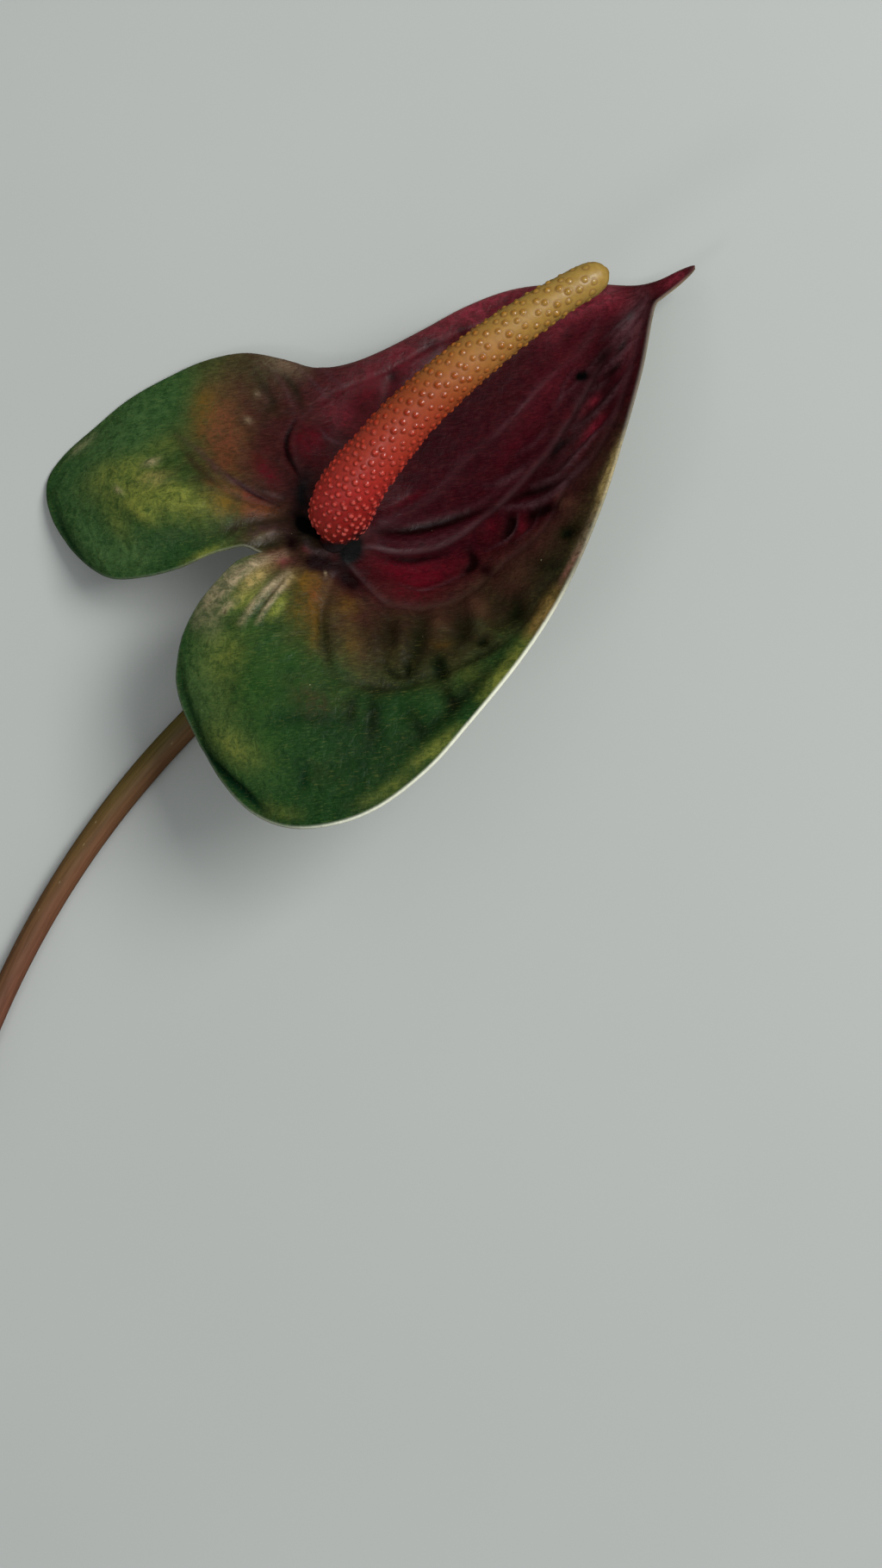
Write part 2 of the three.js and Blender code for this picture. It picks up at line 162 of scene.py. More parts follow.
# Marks on the face: tint, its strength, how far the mark stands up, its half width, and where it
# runs in the picture. A matt one makes the face rougher there.
MARKS = [
    # Broad zones.
    ("grass", 1, 0, 7, (80, 610), (104, 548), (166, 484), (226, 436)),
    ("grass", 0.95, 0, 5, (84, 600), (130, 640), (200, 632)),
    ("grass", 0.9, 0, 3.4, (246, 720), (234, 770), (238, 820), (256, 850)),
    ("fern", 0.7, 0, 4.6, (312, 736), (306, 800), (306, 880), (340, 920)),
    ("fern", 0.5, 0, 4, (350, 770), (346, 850)),
    ("pine", 1.1, 0, 5, (372, 906), (410, 900), (460, 876), (512, 832)),
    ("pine", 0.7, 0, 4, (330, 800), (400, 840), (470, 820)),
    # Painted shade, dark brown, over the bottom of the fan.
    ("brown_shade", 0.75, 0, 4.4, (440, 776), (500, 756), (560, 724), (610, 690), (640, 650)),
    ("rose", 0.55, 0, 3.6, (390, 455), (440, 436), (500, 392)),
    ("rose", 0.95, 0, 3.2, (510, 382), (560, 356), (620, 334)),
    ("rose", 0.8, 0, 3, (640, 392), (680, 352), (740, 350)),
    ("rose", 1, 0, 1.2, (766, 336), (800, 314)),
    ("rose", 0.25, 0, 3.4, (600, 500), (650, 440), (700, 380)),
    ("rust", 0.95, 0.1, 4, (250, 456), (256, 500), (270, 546)),
    ("olive", 0.7, 0.1, 3.4, (290, 426), (330, 436)),
    ("leaf", 0.85, 0.2, 3.2, (126, 560), (176, 576), (240, 592)),
    ("gold", 0.6, 0, 3, (350, 684), (352, 730)),
    ("matt", 1.5, 0, 2.6, (398, 512), (416, 484), (436, 450)),
    ("leaf", 0.5, 0.15, 2.4, (104, 566), (140, 545), (190, 548)),
    ("gold", 0.5, 0, 1.6, (226, 470), (246, 456)),
    ("leaf", 0.5, 0, 4, (270, 730), (258, 766), (256, 796)),
    # Painted reflections: a grey glare over pink along the right margin, and a faint grey glare over the
    # trough.
    ("painted_glare", 0.6, 0, 1.8, (746, 342), (730, 384), (722, 416)),
    ("rose", 0.8, 0, 1.8, (744, 344), (730, 392), (722, 430)),
    ("painted_glare", 0.14, 0, 3, (690, 430), (670, 500), (640, 560)),
    ("rose", 0.6, 0, 2.2, (380, 478), (410, 492)),
    # Painted shade over the dark bottom of the fan.
    ("fold_shade", 0.3, 0, 2, (430, 804), (466, 786), (510, 776)),
    ("grass", 0.5, 0, 3, (256, 812), (268, 850), (296, 890), (330, 912)),
    ("matt", 0.8, 0, 2.4, (244, 572), (270, 588), (298, 594)),
    ("matt", 0.9, 0, 2.2, (398, 642), (444, 618)),
    ("matt", 0.7, 0, 3, (396, 724), (408, 770), (450, 788)),
    ("leaf", 0.2, 0, 3, (250, 812), (262, 850), (286, 880)),
    # Cross ribs between the first and the second vein, and soft ridges of the trough; their greyish pink
    # is a painted sheen on the ribs.
    ("painted_rib_sheen", 0.7, 0.22, 0.4, (681, 455), (692, 452), (707, 443)),
    ("painted_rib_sheen", 1.1, 0.35, 0.45, (660, 500), (680, 491), (703, 470), (724, 444), (735, 426)),
    ("painted_rib_sheen", 1.1, 0.35, 0.5, (618, 566), (645, 556), (663, 540), (682, 515), (706, 491),
     (716, 478)),
    ("painted_rib_sheen", 1.2, 0.35, 0.6, (580, 590), (605, 590), (632, 582), (657, 562), (680, 538)),
    ("painted_rib_sheen", 0.9, 0.25, 0.25, (602, 598), (600, 612), (590, 628), (566, 641)),
    ("painted_rib_sheen", 0.7, 0.2, 0.25, (625, 598), (620, 613), (600, 631)),
    ("painted_rib_sheen", 0.9, 0.3, 0.4, (738, 397), (722, 412), (700, 431), (692, 438)),
    ("painted_rib_sheen", 0.5, 0.12, 0.35, (668, 428), (656, 447), (650, 468), (638, 482)),
    ("painted_rib_sheen", 0.3, 0.12, 0.5, (662, 420), (635, 440), (602, 476), (570, 510)),
    ("painted_rib_sheen", 0.4, 0.15, 0.5, (600, 530), (622, 515), (640, 492)),
    ("painted_rib_sheen", 0.3, 0.15, 0.7, (440, 604), (480, 607), (520, 599), (560, 583), (588, 562)),
    ("painted_rib_sheen", 0.35, 0.12, 0.6, (436, 628), (470, 633), (505, 628), (538, 612)),
    ("painted_rib_sheen", 0.7, 0.2, 0.7, (566, 566), (590, 558), (618, 538)),
    ("painted_rib_sheen", 0.9, 0.25, 0.5, (752, 346), (738, 362), (715, 384), (700, 396)),
    ("painted_rib_sheen", 0.7, 0.15, 0.4, (748, 356), (728, 378), (712, 394)),
    ("painted_rib_sheen", 0.4, 0.12, 0.6, (700, 362), (684, 392), (668, 420)),
    ("painted_rib_sheen", 0.8, 0.25, 0.35, (694, 500), (680, 520), (664, 536)),
    ("painted_rib_sheen", 0.6, 0.15, 0.3, (642, 470), (664, 452), (684, 430), (704, 404)),
    # Pockets between the ribs, crimson or nearly black, and the crimson patch under the first vein.
    ("crimson", 1.6, -0.4, 0.7, (696, 461), (686, 470), (676, 484)),
    ("crimson", 2, -0.4, 0.8, (705, 481), (690, 499), (679, 514), (672, 529)),
    ("wine", 1.2, -0.4, 0.7, (663, 509), (648, 519), (637, 534)),
    ("wine", 1.1, -0.4, 0.8, (655, 558), (630, 568), (604, 576), (592, 584)),
    ("wine", 1.8, -0.4, 0.9, (593, 600), (596, 611), (588, 624)),
    ("crimson", 0.7, -0.15, 1.2, (576, 603), (570, 622)),
    ("wine", 2, -0.4, 0.9, (642, 589), (626, 595), (616, 603)),
    ("crimson", 0.8, -0.1, 0.9, (610, 605), (604, 620)),
    ("wine", 0.9, -0.3, 0.6, (728, 394), (716, 410)),
    ("wine", 0.9, -0.3, 0.7, (722, 419), (702, 440)),
    ("wine", 0.9, -0.2, 0.9, (708, 402), (688, 428)),
    ("crimson", 1.3, -0.3, 1.9, (440, 656), (475, 667), (505, 665), (534, 655)),
    ("crimson", 0.8, -0.1, 0.6, (470, 679), (491, 679), (510, 673)),
    ("wine", 1.4, -0.3, 0.8, (545, 638), (550, 655), (538, 669)),
    ("wine", 0.9, -0.1, 0.6, (440, 648), (480, 652), (520, 644)),
    ("wine", 1.3, -0.35, 0.8, (436, 617), (470, 619), (510, 610), (545, 599), (570, 590)),
    ("crimson", 0.6, -0.15, 0.9, (452, 590), (478, 578), (494, 570)),
    ("crimson", 0.3, -0.05, 1, (572, 548), (600, 515), (622, 484)),
    ("wine", 0.9, -0.2, 1.2, (558, 658), (572, 668)),
    ("crimson", 0.6, 0.1, 1.4, (446, 684), (480, 694), (505, 690)),
    ("black_spot_and_shade", 1.5, -0.25, 0.9, (668, 439), (684, 436)),
    ("ruby", 1.3, 0, 0.65, (700, 486), (690, 499), (681, 511)),
    ("ruby", 1, 0, 0.65, (694, 462), (688, 470)),
    ("ruby", 0.4, 0, 1, (606, 606), (604, 618)),
    ("crimson", 0.8, -0.2, 0.7, (664, 474), (656, 488)),
    # Fine arcs below the crimson patch, the second of them along the second vein; the first is in the
    # greyish pink of the painted sheen.
    ("painted_rib_sheen", 0.7, -0.2, 0.25, (463, 680), (491, 687), (520, 677), (540, 667)),
    ("umber", 0.4, 0.15, 0.3, *SEEN_VEINS["second"][3][:6], (583, 655)),
    # The fan of folds between the second and the outer vein, with painted shade in the grooves between
    # the folds.
    ("clay", 0.9, 0.8, 1.6, (538, 706), (552, 706), (566, 716)),
    ("clay", 0.5, 0.8, 1.9, (508, 716), (510, 738)),
    ("gold", 0.3, 0.1, 0.7, (498, 746), (512, 752), (528, 746)),
    ("bark", 0.9, 0.72, 1.6, (468, 728), (468, 748), (464, 768)),
    ("bark", 0.8, 0.64, 1.5, (434, 722), (438, 748), (440, 770)),
    ("clay", 1.2, 0.56, 1.5, (654, 580), (662, 592)),
    ("clay", 0.5, 0.3, 1.6, (590, 652), (604, 664), (584, 680)),
    ("clay", 0.4, 0.25, 1.2, (612, 640), (632, 620), (648, 600)),
    ("fold_shade", 0.8, -0.7, 1.7, (487, 708), (487, 732), (483, 756), (474, 780)),
    ("fold_shade", 0.6, -0.7, 1.5, (449, 702), (452, 724), (449, 746), (444, 766)),
    ("fold_shade", 0.65, -0.7, 1.6, (530, 706), (536, 730), (530, 756)),
    ("fold_shade", 0.9, -0.72, 2.1, (584, 702), (600, 710), (584, 722)),
    ("olive", 0.7, 0.3, 1.2, (548, 722), (566, 736)),
    ("olive", 0.6, 0.3, 1.3, (530, 750), (548, 754)),
    ("olive", 0.5, 0.25, 1.2, (490, 764), (490, 786)),
    ("fold_shade", 0.9, -0.64, 1.3, (646, 620), (664, 617)),
    ("fold_shade", 0.4, -0.3, 1.2, (670, 606), (660, 624)),
    ("fold_shade", 1, -0.64, 0.9, (552, 746), (568, 745)),
    ("fold_shade", 1, -0.5, 1.1, (506, 758), (510, 772), (516, 790)),
    ("teal", 0.9, 0, 1.1, (508, 766), (514, 784)),
    ("fold_shade", 0.6, -0.56, 0.5, (444, 768), (454, 782), (468, 788)),
    ("fold_shade", 0.6, -0.3, 0.5, (472, 770), (475, 786)),
    ("fold_shade", 0.6, -0.3, 1.3, (620, 662), (648, 652)),
    ("slate", 0.35, -0.2, 1.4, (656, 634), (640, 672), (618, 700)),
    ("fold_shade", 0.45, -0.2, 0.9, (392, 786), (430, 800), (470, 798), (516, 784)),
    ("fold_shade", 0.6, -0.3, 0.8, (520, 780), (556, 762), (590, 742)),
    ("fold_shade", 0.5, -0.56, 0.9, (370, 700), (376, 740), (384, 786)),
    ("gold", 0.6, 0.25, 1.8, (400, 692), (404, 720)),
    ("gold", 0.45, 0.25, 1.6, (404, 735), (412, 766)),
    ("gold", 0.5, 0.15, 0.9, (364, 690), (366, 730), (362, 760)),
    # Bands inside the margin, with a painted highlight along the pale one.
    ("straw", 1.3, 0, 0.65, (726, 504), (706, 555), (690, 604)),
    ("painted_highlight", 0.5, 0, 0.6, (694, 590), (682, 620), (652, 680)),
    ("straw", 0.5, 0, 0.9, (648, 684), (632, 712), (614, 738)),
    ("umber", 0.6, 0, 0.8, (694, 578), (684, 606), (674, 634)),
    ("rose", 0.9, 0, 0.5, (678, 632), (664, 656), (650, 682)),
    ("gold", 1.5, 0, 1, (648, 684), (632, 712), (614, 738)),
    ("leaf", 1.3, 0, 1.1, (614, 744), (588, 778), (560, 810)),
    ("leaf", 0.8, 0.1, 1.2, (532, 846), (508, 868), (478, 888)),
    ("leaf", 0.5, 0, 1, (480, 894), (448, 919), (420, 932)),
    ("leaf", 0.8, 0.1, 0.8, (212, 657), (240, 643), (260, 635)),
    # The lower lobe: fold behind the margin, radial folds, and ridges beside the notch. The folds are
    # darkened with painted shade, the lobe's lower-left edge with teal painted shade, and the pale ridges
    # beside the notch carry painted highlights.
    ("fold_shade", 0.7, -0.2, 1.3, (594, 758), (552, 795), (512, 838), (472, 868)),
    ("fold_shade", 0.8, 0, 1.3, (432, 806), (434, 838), (427, 866)),
    ("fold_shade", 0.7, -0.08, 1, (411, 808), (406, 842)),
    ("fold_shade", 0.6, 0, 1.1, (474, 822), (494, 856)),
    ("fold_shade", 0.7, -0.08, 1.2, (516, 796), (528, 820)),
    ("grass", 0.35, 0.08, 1, (457, 818), (452, 866)),
    ("grass", 0.4, 0.08, 1.1, (494, 804), (514, 836)),
    ("grass", 0.3, 0.08, 0.9, (425, 820), (419, 854)),
    ("leaf", 0.25, 0.2, 1.6, (530, 782), (562, 786)),
    ("umber", 0.6, 0.1, 2.6, (340, 796), (366, 816), (392, 820)),
    ("teal", 0.6, -0.2, 1.3, (296, 838), (350, 834), (404, 838)),
    ("teal", 0.8, -0.25, 1, (354, 886), (352, 920)),
    ("teal", 1.5, -0.5, 0.7, (232, 872), (262, 901), (286, 922), (308, 944)),
    ("teal", 0.4, -0.3, 0.7, (208, 766), (213, 804), (224, 838), (238, 878)),
    ("leaf", 0.55, 0.15, 2.2, (250, 850), (280, 872), (304, 882)),
    ("leaf", 0.35, 0.1, 1.2, (300, 940), (350, 946)),
    ("straw", 1.1, 0.25, 1.3, (312, 660), (292, 676), (280, 690)),
    ("leaf", 1, 0, 1.4, (300, 684), (270, 706)),
    ("leaf", 1.4, 0.2, 0.8, (330, 694), (314, 718)),
    ("painted_highlight", 0.8, 0.3, 0.8, (330, 646), (298, 656), (274, 674), (254, 700)),
    ("painted_highlight", 0.85, 0.35, 0.65, (334, 666), (314, 682), (296, 702), (280, 724)),
    ("umber", 0.8, -0.3, 0.35, (330, 672), (312, 694), (300, 712)),
    ("painted_highlight", 0.8, 0.3, 0.5, (337, 670), (322, 690), (308, 708), (299, 724)),
    ("painted_highlight", 0.6, 0.2, 0.8, (256, 712), (275, 697)),
    ("painted_highlight", 0.3, 0.1, 1.8, (246, 706), (248, 736)),
    ("rose", 0.5, 0.2, 1.6, (306, 652), (340, 650)),
    ("fold_shade", 1.6, -0.3, 0.3, (260, 711), (263, 710)),
    ("gold", 1, 0, 1.7, (344, 676), (374, 676)),
    ("copper", 0.7, 0, 1.2, (364, 676), (368, 704)),
    ("painted_highlight", 0.6, 0, 1.2, (300, 648), (266, 668), (242, 698), (228, 726)),
    ("straw", 0.5, 0, 0.9, (342, 668), (328, 684)),
    # The upper lobe: its fold from the notch outwards, its golden zone and its blisters. Its ridges carry
    # painted sheen and its blisters painted highlights; its grooves and lower-left edge are darkened with
    # painted shade.
    ("straw", 0.5, 0.3, 1.3, (166, 560), (196, 556)),
    ("leaf", 0.8, 0.25, 1.2, (204, 572), (236, 590)),
    ("leaf", 0.8, 0.25, 1.1, (150, 584), (180, 606)),
    ("pine", 0.5, -0.25, 1.1, (206, 594), (228, 606)),
    ("pine", 0.5, -0.25, 1, (124, 552), (136, 546)),
    ("pine", 0.6, -0.2, 1.6, (196, 500), (206, 516)),
    ("gold", 1, 0.1, 2.1, (240, 582), (272, 588)),
    ("gold", 0.5, 0.1, 2.2, (240, 462), (232, 506)),
    ("crimson", 0.7, 0, 0.7, (280, 574), (312, 586)),
    ("brown_shade", 1, -0.35, 0.6, (204, 512), (226, 540), (254, 566), (284, 582), (318, 591)),
    ("wine", 0.9, -0.3, 0.35, (262, 552), (294, 574), (324, 588)),
    ("painted_rib_sheen", 0.7, 0.3, 0.5, (204, 506), (228, 522), (252, 546), (284, 568), (320, 586)),
    ("rust", 0.5, 0.2, 0.8, (240, 560), (266, 572)),
    ("crimson", 1, 0.1, 1.4, (298, 534), (322, 566)),
    ("wine", 1.4, -0.35, 0.4, (343, 488), (334, 508), (334, 528), (348, 554)),
    ("crimson", 1.2, 0.15, 2.6, (350, 496), (368, 530)),
    ("painted_rib_sheen", 0.7, 0.15, 0.3, (370, 497), (380, 509), (396, 517)),
    ("painted_rib_sheen", 0.7, 0.25, 1.2, (284, 628), (306, 618), (334, 616)),
    ("painted_highlight", 0.2, 0.15, 0.4, (292, 628), (318, 617)),
    ("brown_shade", 1.1, -0.3, 1.3, (246, 622), (298, 606), (340, 600)),
    ("fold_shade", 0.6, -0.2, 0.8, (288, 638), (330, 630)),
    ("teal", 0.8, -0.25, 0.8, (60, 572), (68, 608), (84, 640), (106, 661), (126, 668)),
    ("painted_highlight", 0.4, 0.2, 0.5, (284, 486), (292, 492)),
    ("painted_highlight", 0.4, 0.15, 0.4, (297, 455), (302, 463)),
    ("painted_highlight", 0.6, 0.35, 0.7, (168, 542), (184, 535)),
    ("painted_highlight", 0.45, 0.3, 0.5, (136, 566), (144, 574)),
    ("painted_highlight", 0.3, 0.1, 0.8, (82, 530), (112, 505)),
    ("painted_rib_sheen", 0.5, 0.25, 0.5, (310, 424), (328, 446), (340, 478)),
    ("painted_rib_sheen", 0.5, 0.25, 0.5, (344, 424), (362, 444), (380, 462)),
    ("painted_rib_sheen", 0.4, 0.2, 0.5, (366, 420), (384, 438), (402, 452)),
    ("fold_shade", 0.6, -0.25, 0.6, (322, 430), (342, 452), (352, 474)),
    ("fold_shade", 0.5, -0.25, 0.6, (296, 436), (314, 460), (322, 484)),
    ("brown_shade", 0.5, -0.2, 1.2, (322, 470), (300, 480)),
    ("copper", 0.9, 0.1, 1.2, (272, 591), (300, 593), (326, 594)),
    ("copper", 0.8, 0, 0.8, (266, 566), (290, 579), (308, 585)),
    ("copper", 0.4, 0, 1.4, (256, 520), (268, 548)),
    ("painted_highlight", 0.24, 0, 1.5, (304, 420), (330, 424), (352, 434)),
    ("brown_shade", 0.6, -0.25, 0.7, (246, 500), (262, 524), (282, 546)),
    ("brown_shade", 0.5, -0.2, 0.7, (272, 470), (286, 500), (300, 524)),
    ("leaf", 0.35, 0, 2, (160, 534), (190, 520), (214, 506)),
    ("leaf", 0.4, 0, 1.6, (122, 578), (134, 602), (150, 626)),
    # The upper wing behind the spadix.
    ("crimson", 0.7, 0.1, 2, (404, 464), (440, 446), (476, 420)),
    ("wine", 0.8, -0.1, 1.3, (450, 441), (462, 435)),
    ("wine", 0.7, -0.1, 1.3, (530, 389), (542, 379)),
    ("wine", 0.5, -0.1, 1.2, (560, 364), (600, 346)),
    ("wine", 0.6, -0.1, 1.1, (490, 404), (510, 398)),
    ("wine", 0.5, -0.1, 1.3, (652, 400), (676, 372)),
    # The hollow round the joint, with painted shade: slate and near black beside and under the spadix's
    # foot, and dark red below it. Over it lie a painted glare, pink at its edge, on the stalk's foot, and
    # a small painted highlight.
    ("slate", 0.9, 0, 1.3, (356, 548), (349, 576), (352, 604)),
    ("black_spot_and_shade", 1.8, 0, 1.1, (345, 600), (352, 612), (362, 620)),
    ("black_spot_and_shade", 2.2, 0, 1.7, (388, 628), (406, 634), (400, 656)),
    ("black_spot_and_shade", 1.8, 0, 0.9, (356, 612), (374, 624), (396, 634)),
    ("wine", 1.6, 0, 1.4, (352, 652), (386, 658)),
    ("wine", 1, 0.1, 1.3, (336, 620), (342, 644)),
    ("rose", 0.6, 0.2, 0.6, (352, 636), (362, 645)),
    ("painted_glare", 0.8, 0.2, 0.6, (354, 626), (362, 640), (382, 644)),
    ("wine", 1.2, 0, 1.8, (392, 664), (420, 688)),
    ("painted_highlight", 0.7, 0.1, 0.2, (376, 665), (379, 670)),
]

# Soft swellings and dents that the spadix hides from above, or along the margin: how far they
# stand up, their half width, and where they run, as along and across.
SWELLINGS = [
    (0.35, 2.2, (14, 14.5), (20, 17.5)),
    (0.35, 2.2, (24, 14.5), (31, 17)),
    (0.35, 2, (35, 13.6), (42, 15.6)),
    (0.3, 1.8, (46, 11.4), (52, 12.8)),
    (-0.4, 1.2, (19, 13.6), (26, 17.6)),
    (-0.4, 1.2, (31, 13.4), (38, 16.6)),
    (-0.35, 1.2, (42, 11.4), (48, 13.8)),
    (0.35, 2.6, (-13, 21), (-18, 27)),
    (0.3, 2.4, (-16, 17.5), (-25, 21)),
    (-0.25, 1.6, (-12, 25), (-17, 32)),
    (-0.9, 1.8, (-34.4, 22), (-35.8, 28.5), (-35, 34.6)),
    (-1, 1.9, (-37, -25), (-38.3, -19.3), (-37.4, -11.2), (-35.4, -4.6)),
]

# Lines of equal redness on the face, in the picture, from all red (1) to all green (0).
REDNESS = {
    1: [
        (560, 500), (660, 400), (600, 560), (500, 600), (720, 370), (460, 650), (520, 660),
        (690, 470), (620, 590), (500, 430), (780, 330),
    ],
    0.8: [
        (420, 450), (370, 520), (545, 660), (705, 480), (400, 650), (560, 380), (736, 360),
    ],
    0.65: [
        (350, 440), (335, 500), (324, 560), (600, 640), (680, 540), (500, 700), (380, 664),
        (345, 600),
    ],
    0.5: [
        (300, 428), (296, 500), (292, 566), (460, 722), (540, 712), (590, 682), (645, 640),
        (672, 590), (698, 548), (330, 650), (384, 700), (360, 620),
    ],
    0.35: [
        (250, 450), (244, 520), (262, 572), (420, 760), (480, 768), (540, 744), (606, 716),
        (350, 684), (296, 614),
    ],
    0.12: [
        (222, 446), (206, 500), (226, 580), (250, 610), (400, 796), (480, 796), (560, 768),
        (610, 742), (324, 720), (300, 680),
    ],
    0: [
        (150, 480), (100, 560), (150, 640), (180, 560), (250, 760), (300, 860), (400, 900),
        (500, 850), (230, 820), (570, 800), (330, 800),
    ],
}

# How pale the rim is against the place in MARGIN.
RIM_PALENESS = [
    (0, 0.15), (10, 0), (30, 0.05), (35, 0.15), (38, 0.2), (39, 0.8), (40, 1), (44, 1), (45, 0.4),
    (47, 0.1), (54, 0),
]
RIM_WIDTH = 0.17
RIM_STRENGTH = 0.9
RIM_UNDERSIDE = 0.6  # how far the rim takes the underside's colour where it meets it

# Tints that the marks lay over the face, in this order; the solid ones aren't broken into patches.
# Some are painted light: the greyish pink on ribs, the pale marks on ridges and blisters and the
# grey at the right margin and at the stalk's foot are painted sheen, highlights and glare; the
# near-black green in grooves and folds, the dark brown over the fan's bottom and in grooves, and
# the near black in the hollow round the joint are painted shade; the teal is the lobes' own
# blue-green and also painted shade along their lower-left edges and folds.
SOLID_TINTS = ("teal", "fold_shade", "wine", "slate", "black_spot_and_shade")
TINTS = {
    "grass": (66, 98, 52), "fern": (50, 86, 34), "pine": (16, 46, 15), "brown_shade": (34, 30, 16),
    "bark": (42, 32, 22), "olive": (58, 62, 38), "rose": (124, 34, 48), "rust": (110, 60, 38),
    "clay": (84, 52, 38), "gold": (104, 74, 18), "leaf": (122, 128, 52), "copper": (116, 62, 30),
    "straw": (164, 142, 86), "teal": (3, 38, 16), "fold_shade": (8, 18, 3), "umber": (66, 50, 32),
    "crimson": (86, 4, 20), "ruby": (132, 18, 42), "wine": (20, 0, 2), "painted_rib_sheen": (72, 44, 49),
    "painted_highlight": (172, 152, 120), "painted_glare": (92, 80, 82), "slate": (12, 18, 19), "black_spot_and_shade": (2, 3, 4),
}

# Colours: the place in the range, then red, green and blue as on a screen.
FACE_COLOURS = [
    (0, 26, 60, 23), (0.12, 43, 64, 27), (0.25, 54, 58, 26), (0.38, 56, 46, 24),
    (0.5, 56, 36, 23), (0.65, 56, 23, 21), (0.82, 55, 10, 14), (1, 48, 4, 12),
]
UNDERSIDE_COLOURS = [(0.3, 104, 116, 66), (0.6, 126, 118, 78), (0.8, 118, 84, 66)]
# The veins' greyish mauve is a painted sheen along them.
VEIN_SHEEN_COLOUR = (78, 54, 56)
FLECK_COLOUR = (112, 106, 48)
SPECK_COLOUR = (150, 158, 120)
RIM_COLOUR = (230, 232, 210)

# -------- spadix's own detail

SPADIX_SECTIONS = 400
SPADIX_SIDES = 168
SPADIX_SPAN_STEPS = 200  # steps between two points of its line
SHAPE_STEPS = 2200  # steps in which the corners of its shape are rounded off
SHAPE_OVERRUN = 0.05  # the share by which that range runs past each end
SHAPE_WINDOW = 31  # steps that each rounded radius is an average of
NUB_HEIGHT = 0.28
NUB_RADIUS = 0.53
NUB_SPACING = [(0.04, 1.4), (0.2, 1.6), (0.4, 1.8), (0.7, 2.05), (1, 2.15)]  # against the share
NUB_GROWTH = [(0.045, 0.1), (0.08, 1.25), (0.3, 1.15), (0.5, 1), (0.86, 1), (0.97, 0.2)]
NUB_SIZES = (0.82, 1.12)
NUB_JITTER = 0.38
NUBS_FROM = 0.045
NUBS_TO = 0.965
SLIMMEST_NUBBED = 1.2  # nubs on a slimmer end are spaced as on this radius
ROW_SPACING = 0.866  # of rows in a honeycomb
GOLDEN_ANGLE = math.radians(137.508)
SKIN_DEPTH = [(0.035, 0), (0.055, 1), (0.88, 1), (0.95, 0.3)]  # nub heights under the outer shape
FOOT_RING_DEPTH = 0.05
FOOT_RING_PLACE = 1.05  # from a nub's middle, in its radii, as is the width
FOOT_RING_WIDTH = 0.25
STALK_SINK = 0.3  # how far the stalk's foot reaches into the spathe's gap
# At the foot, the stalk's grey is a painted glare on its dark skin, and the near black just above it is
# painted shadow under the spadix's base.
SKIN_COLOURS = [
    (0, 44, 34, 36), (0.03, 30, 12, 14), (0.05, 70, 8, 8), (0.07, 124, 10, 10),
    (0.2, 176, 40, 35), (0.38, 170, 60, 38), (0.5, 156, 72, 32), (0.62, 160, 104, 45),
    (0.75, 158, 120, 52), (1, 154, 126, 58),
]
# The nubs' tops; their pale pink at the lower end is partly the nubs' own paler colour and partly a
# painted highlight.
BEAD_COLOURS = [
    (0.05, 192, 84, 76), (0.25, 188, 66, 56), (0.45, 150, 46, 28), (0.6, 154, 78, 30),
    (0.8, 154, 110, 40), (1, 154, 120, 46),
]
# Painted shade in the dent round each nub's foot.
FOOT_RING_SHADE = (104, 34, 20)

# -------- peduncle's own detail

PEDUNCLE_SECTION_STEP = 1.5
PEDUNCLE_SIDES = 40
PEDUNCLE_INSET = 0.02  # the share of the radius that is taken off for the ribs
RIBS = [(9, 1, 0.012), (14, 2, 0.008)]  # how many, turn of the first, height as a share
SWELLING = (0.012, 9, 2, 31)  # height as a share, length, how far and how slowly it shifts
GRAIN_RADIUS = 2.3  # of the round stem that the grain is laid on
TOP_REACH = 0.35  # how far the top reaches into the gap under the spathe
CUT_RINGS = 8
CUT_CROWDING = 0.9  # how the cut face's rings crowd towards its edge
CUT_HOLLOW = 0.25
STEM_COLOURS = [
    (0, 96, 88, 40), (0.1, 92, 80, 34), (0.2, 98, 72, 40), (0.3, 98, 61, 46),
    (0.6, 98, 70, 44), (1, 92, 92, 46),
]
STEM_COLOUR_LENGTH = 395
FLANK_COLOUR = (116, 70, 56)
LENTICEL_COLOUR = (150, 132, 98)
PITH_COLOURS = [(0, 196, 198, 150), (0.75, 172, 180, 118), (0.92, 112, 120, 62), (1, 92, 84, 48)]
BUNDLE_COLOUR = (112, 104, 60)

# -------- camera, floor, light

CAMERA = (26.79, 117.86, 480)
CAMERA_LENS = 63.3
CAMERA_SENSOR = 36
CAMERA_CLIP = 0.01  # in metres, as are the floor and the lights
FLOOR_HALF = 3.0
FLOOR_COLOUR = (177, 181, 178)
WORLD_COLOUR = (0.95, 0.98, 1.0, 1)
WORLD_STRENGTH = 0.31
# Lights: place, target, size, power in watts, colour.
LIGHTS = {
    "key": ((0.52, 0.38, 0.78), (0.02, 0.13, 0), 0.45, 7.0, (1, 0.99, 0.98)),
    "fill": ((0.15, 0.1, 1.7), (0.03, 0.12, 0), 2.0, 5.4, (1, 1, 1)),
    "spark": ((-0.5, -0.38, 0.8), (0.03, 0.13, 0.02), 0.16, 0.8, (1, 1, 1)),
}

# -------- curves and meshes


def srgb(red, green, blue):
    """A colour given as on a screen, from 0 to 255, as Blender's linear colour."""
    shares = [value / 255 for value in (red, green, blue)]
    linear = [s / 12.92 if s <= 0.04045 else ((s + 0.055) / 1.055) ** 2.4 for s in shares]
    return (*linear, 1.0)


def between(table, where):
    """The value of a table of (place, value) rows at each place, on straight stretches."""
    places, values = zip(*table)
    return np.interp(where, places, values)


def unit(vectors):
    return vectors / np.linalg.norm(vectors, axis=-1, keepdims=True)


def round_turn(count):
    """Evenly spaced angles, once round."""
    return np.arange(count) / count * 2 * math.pi


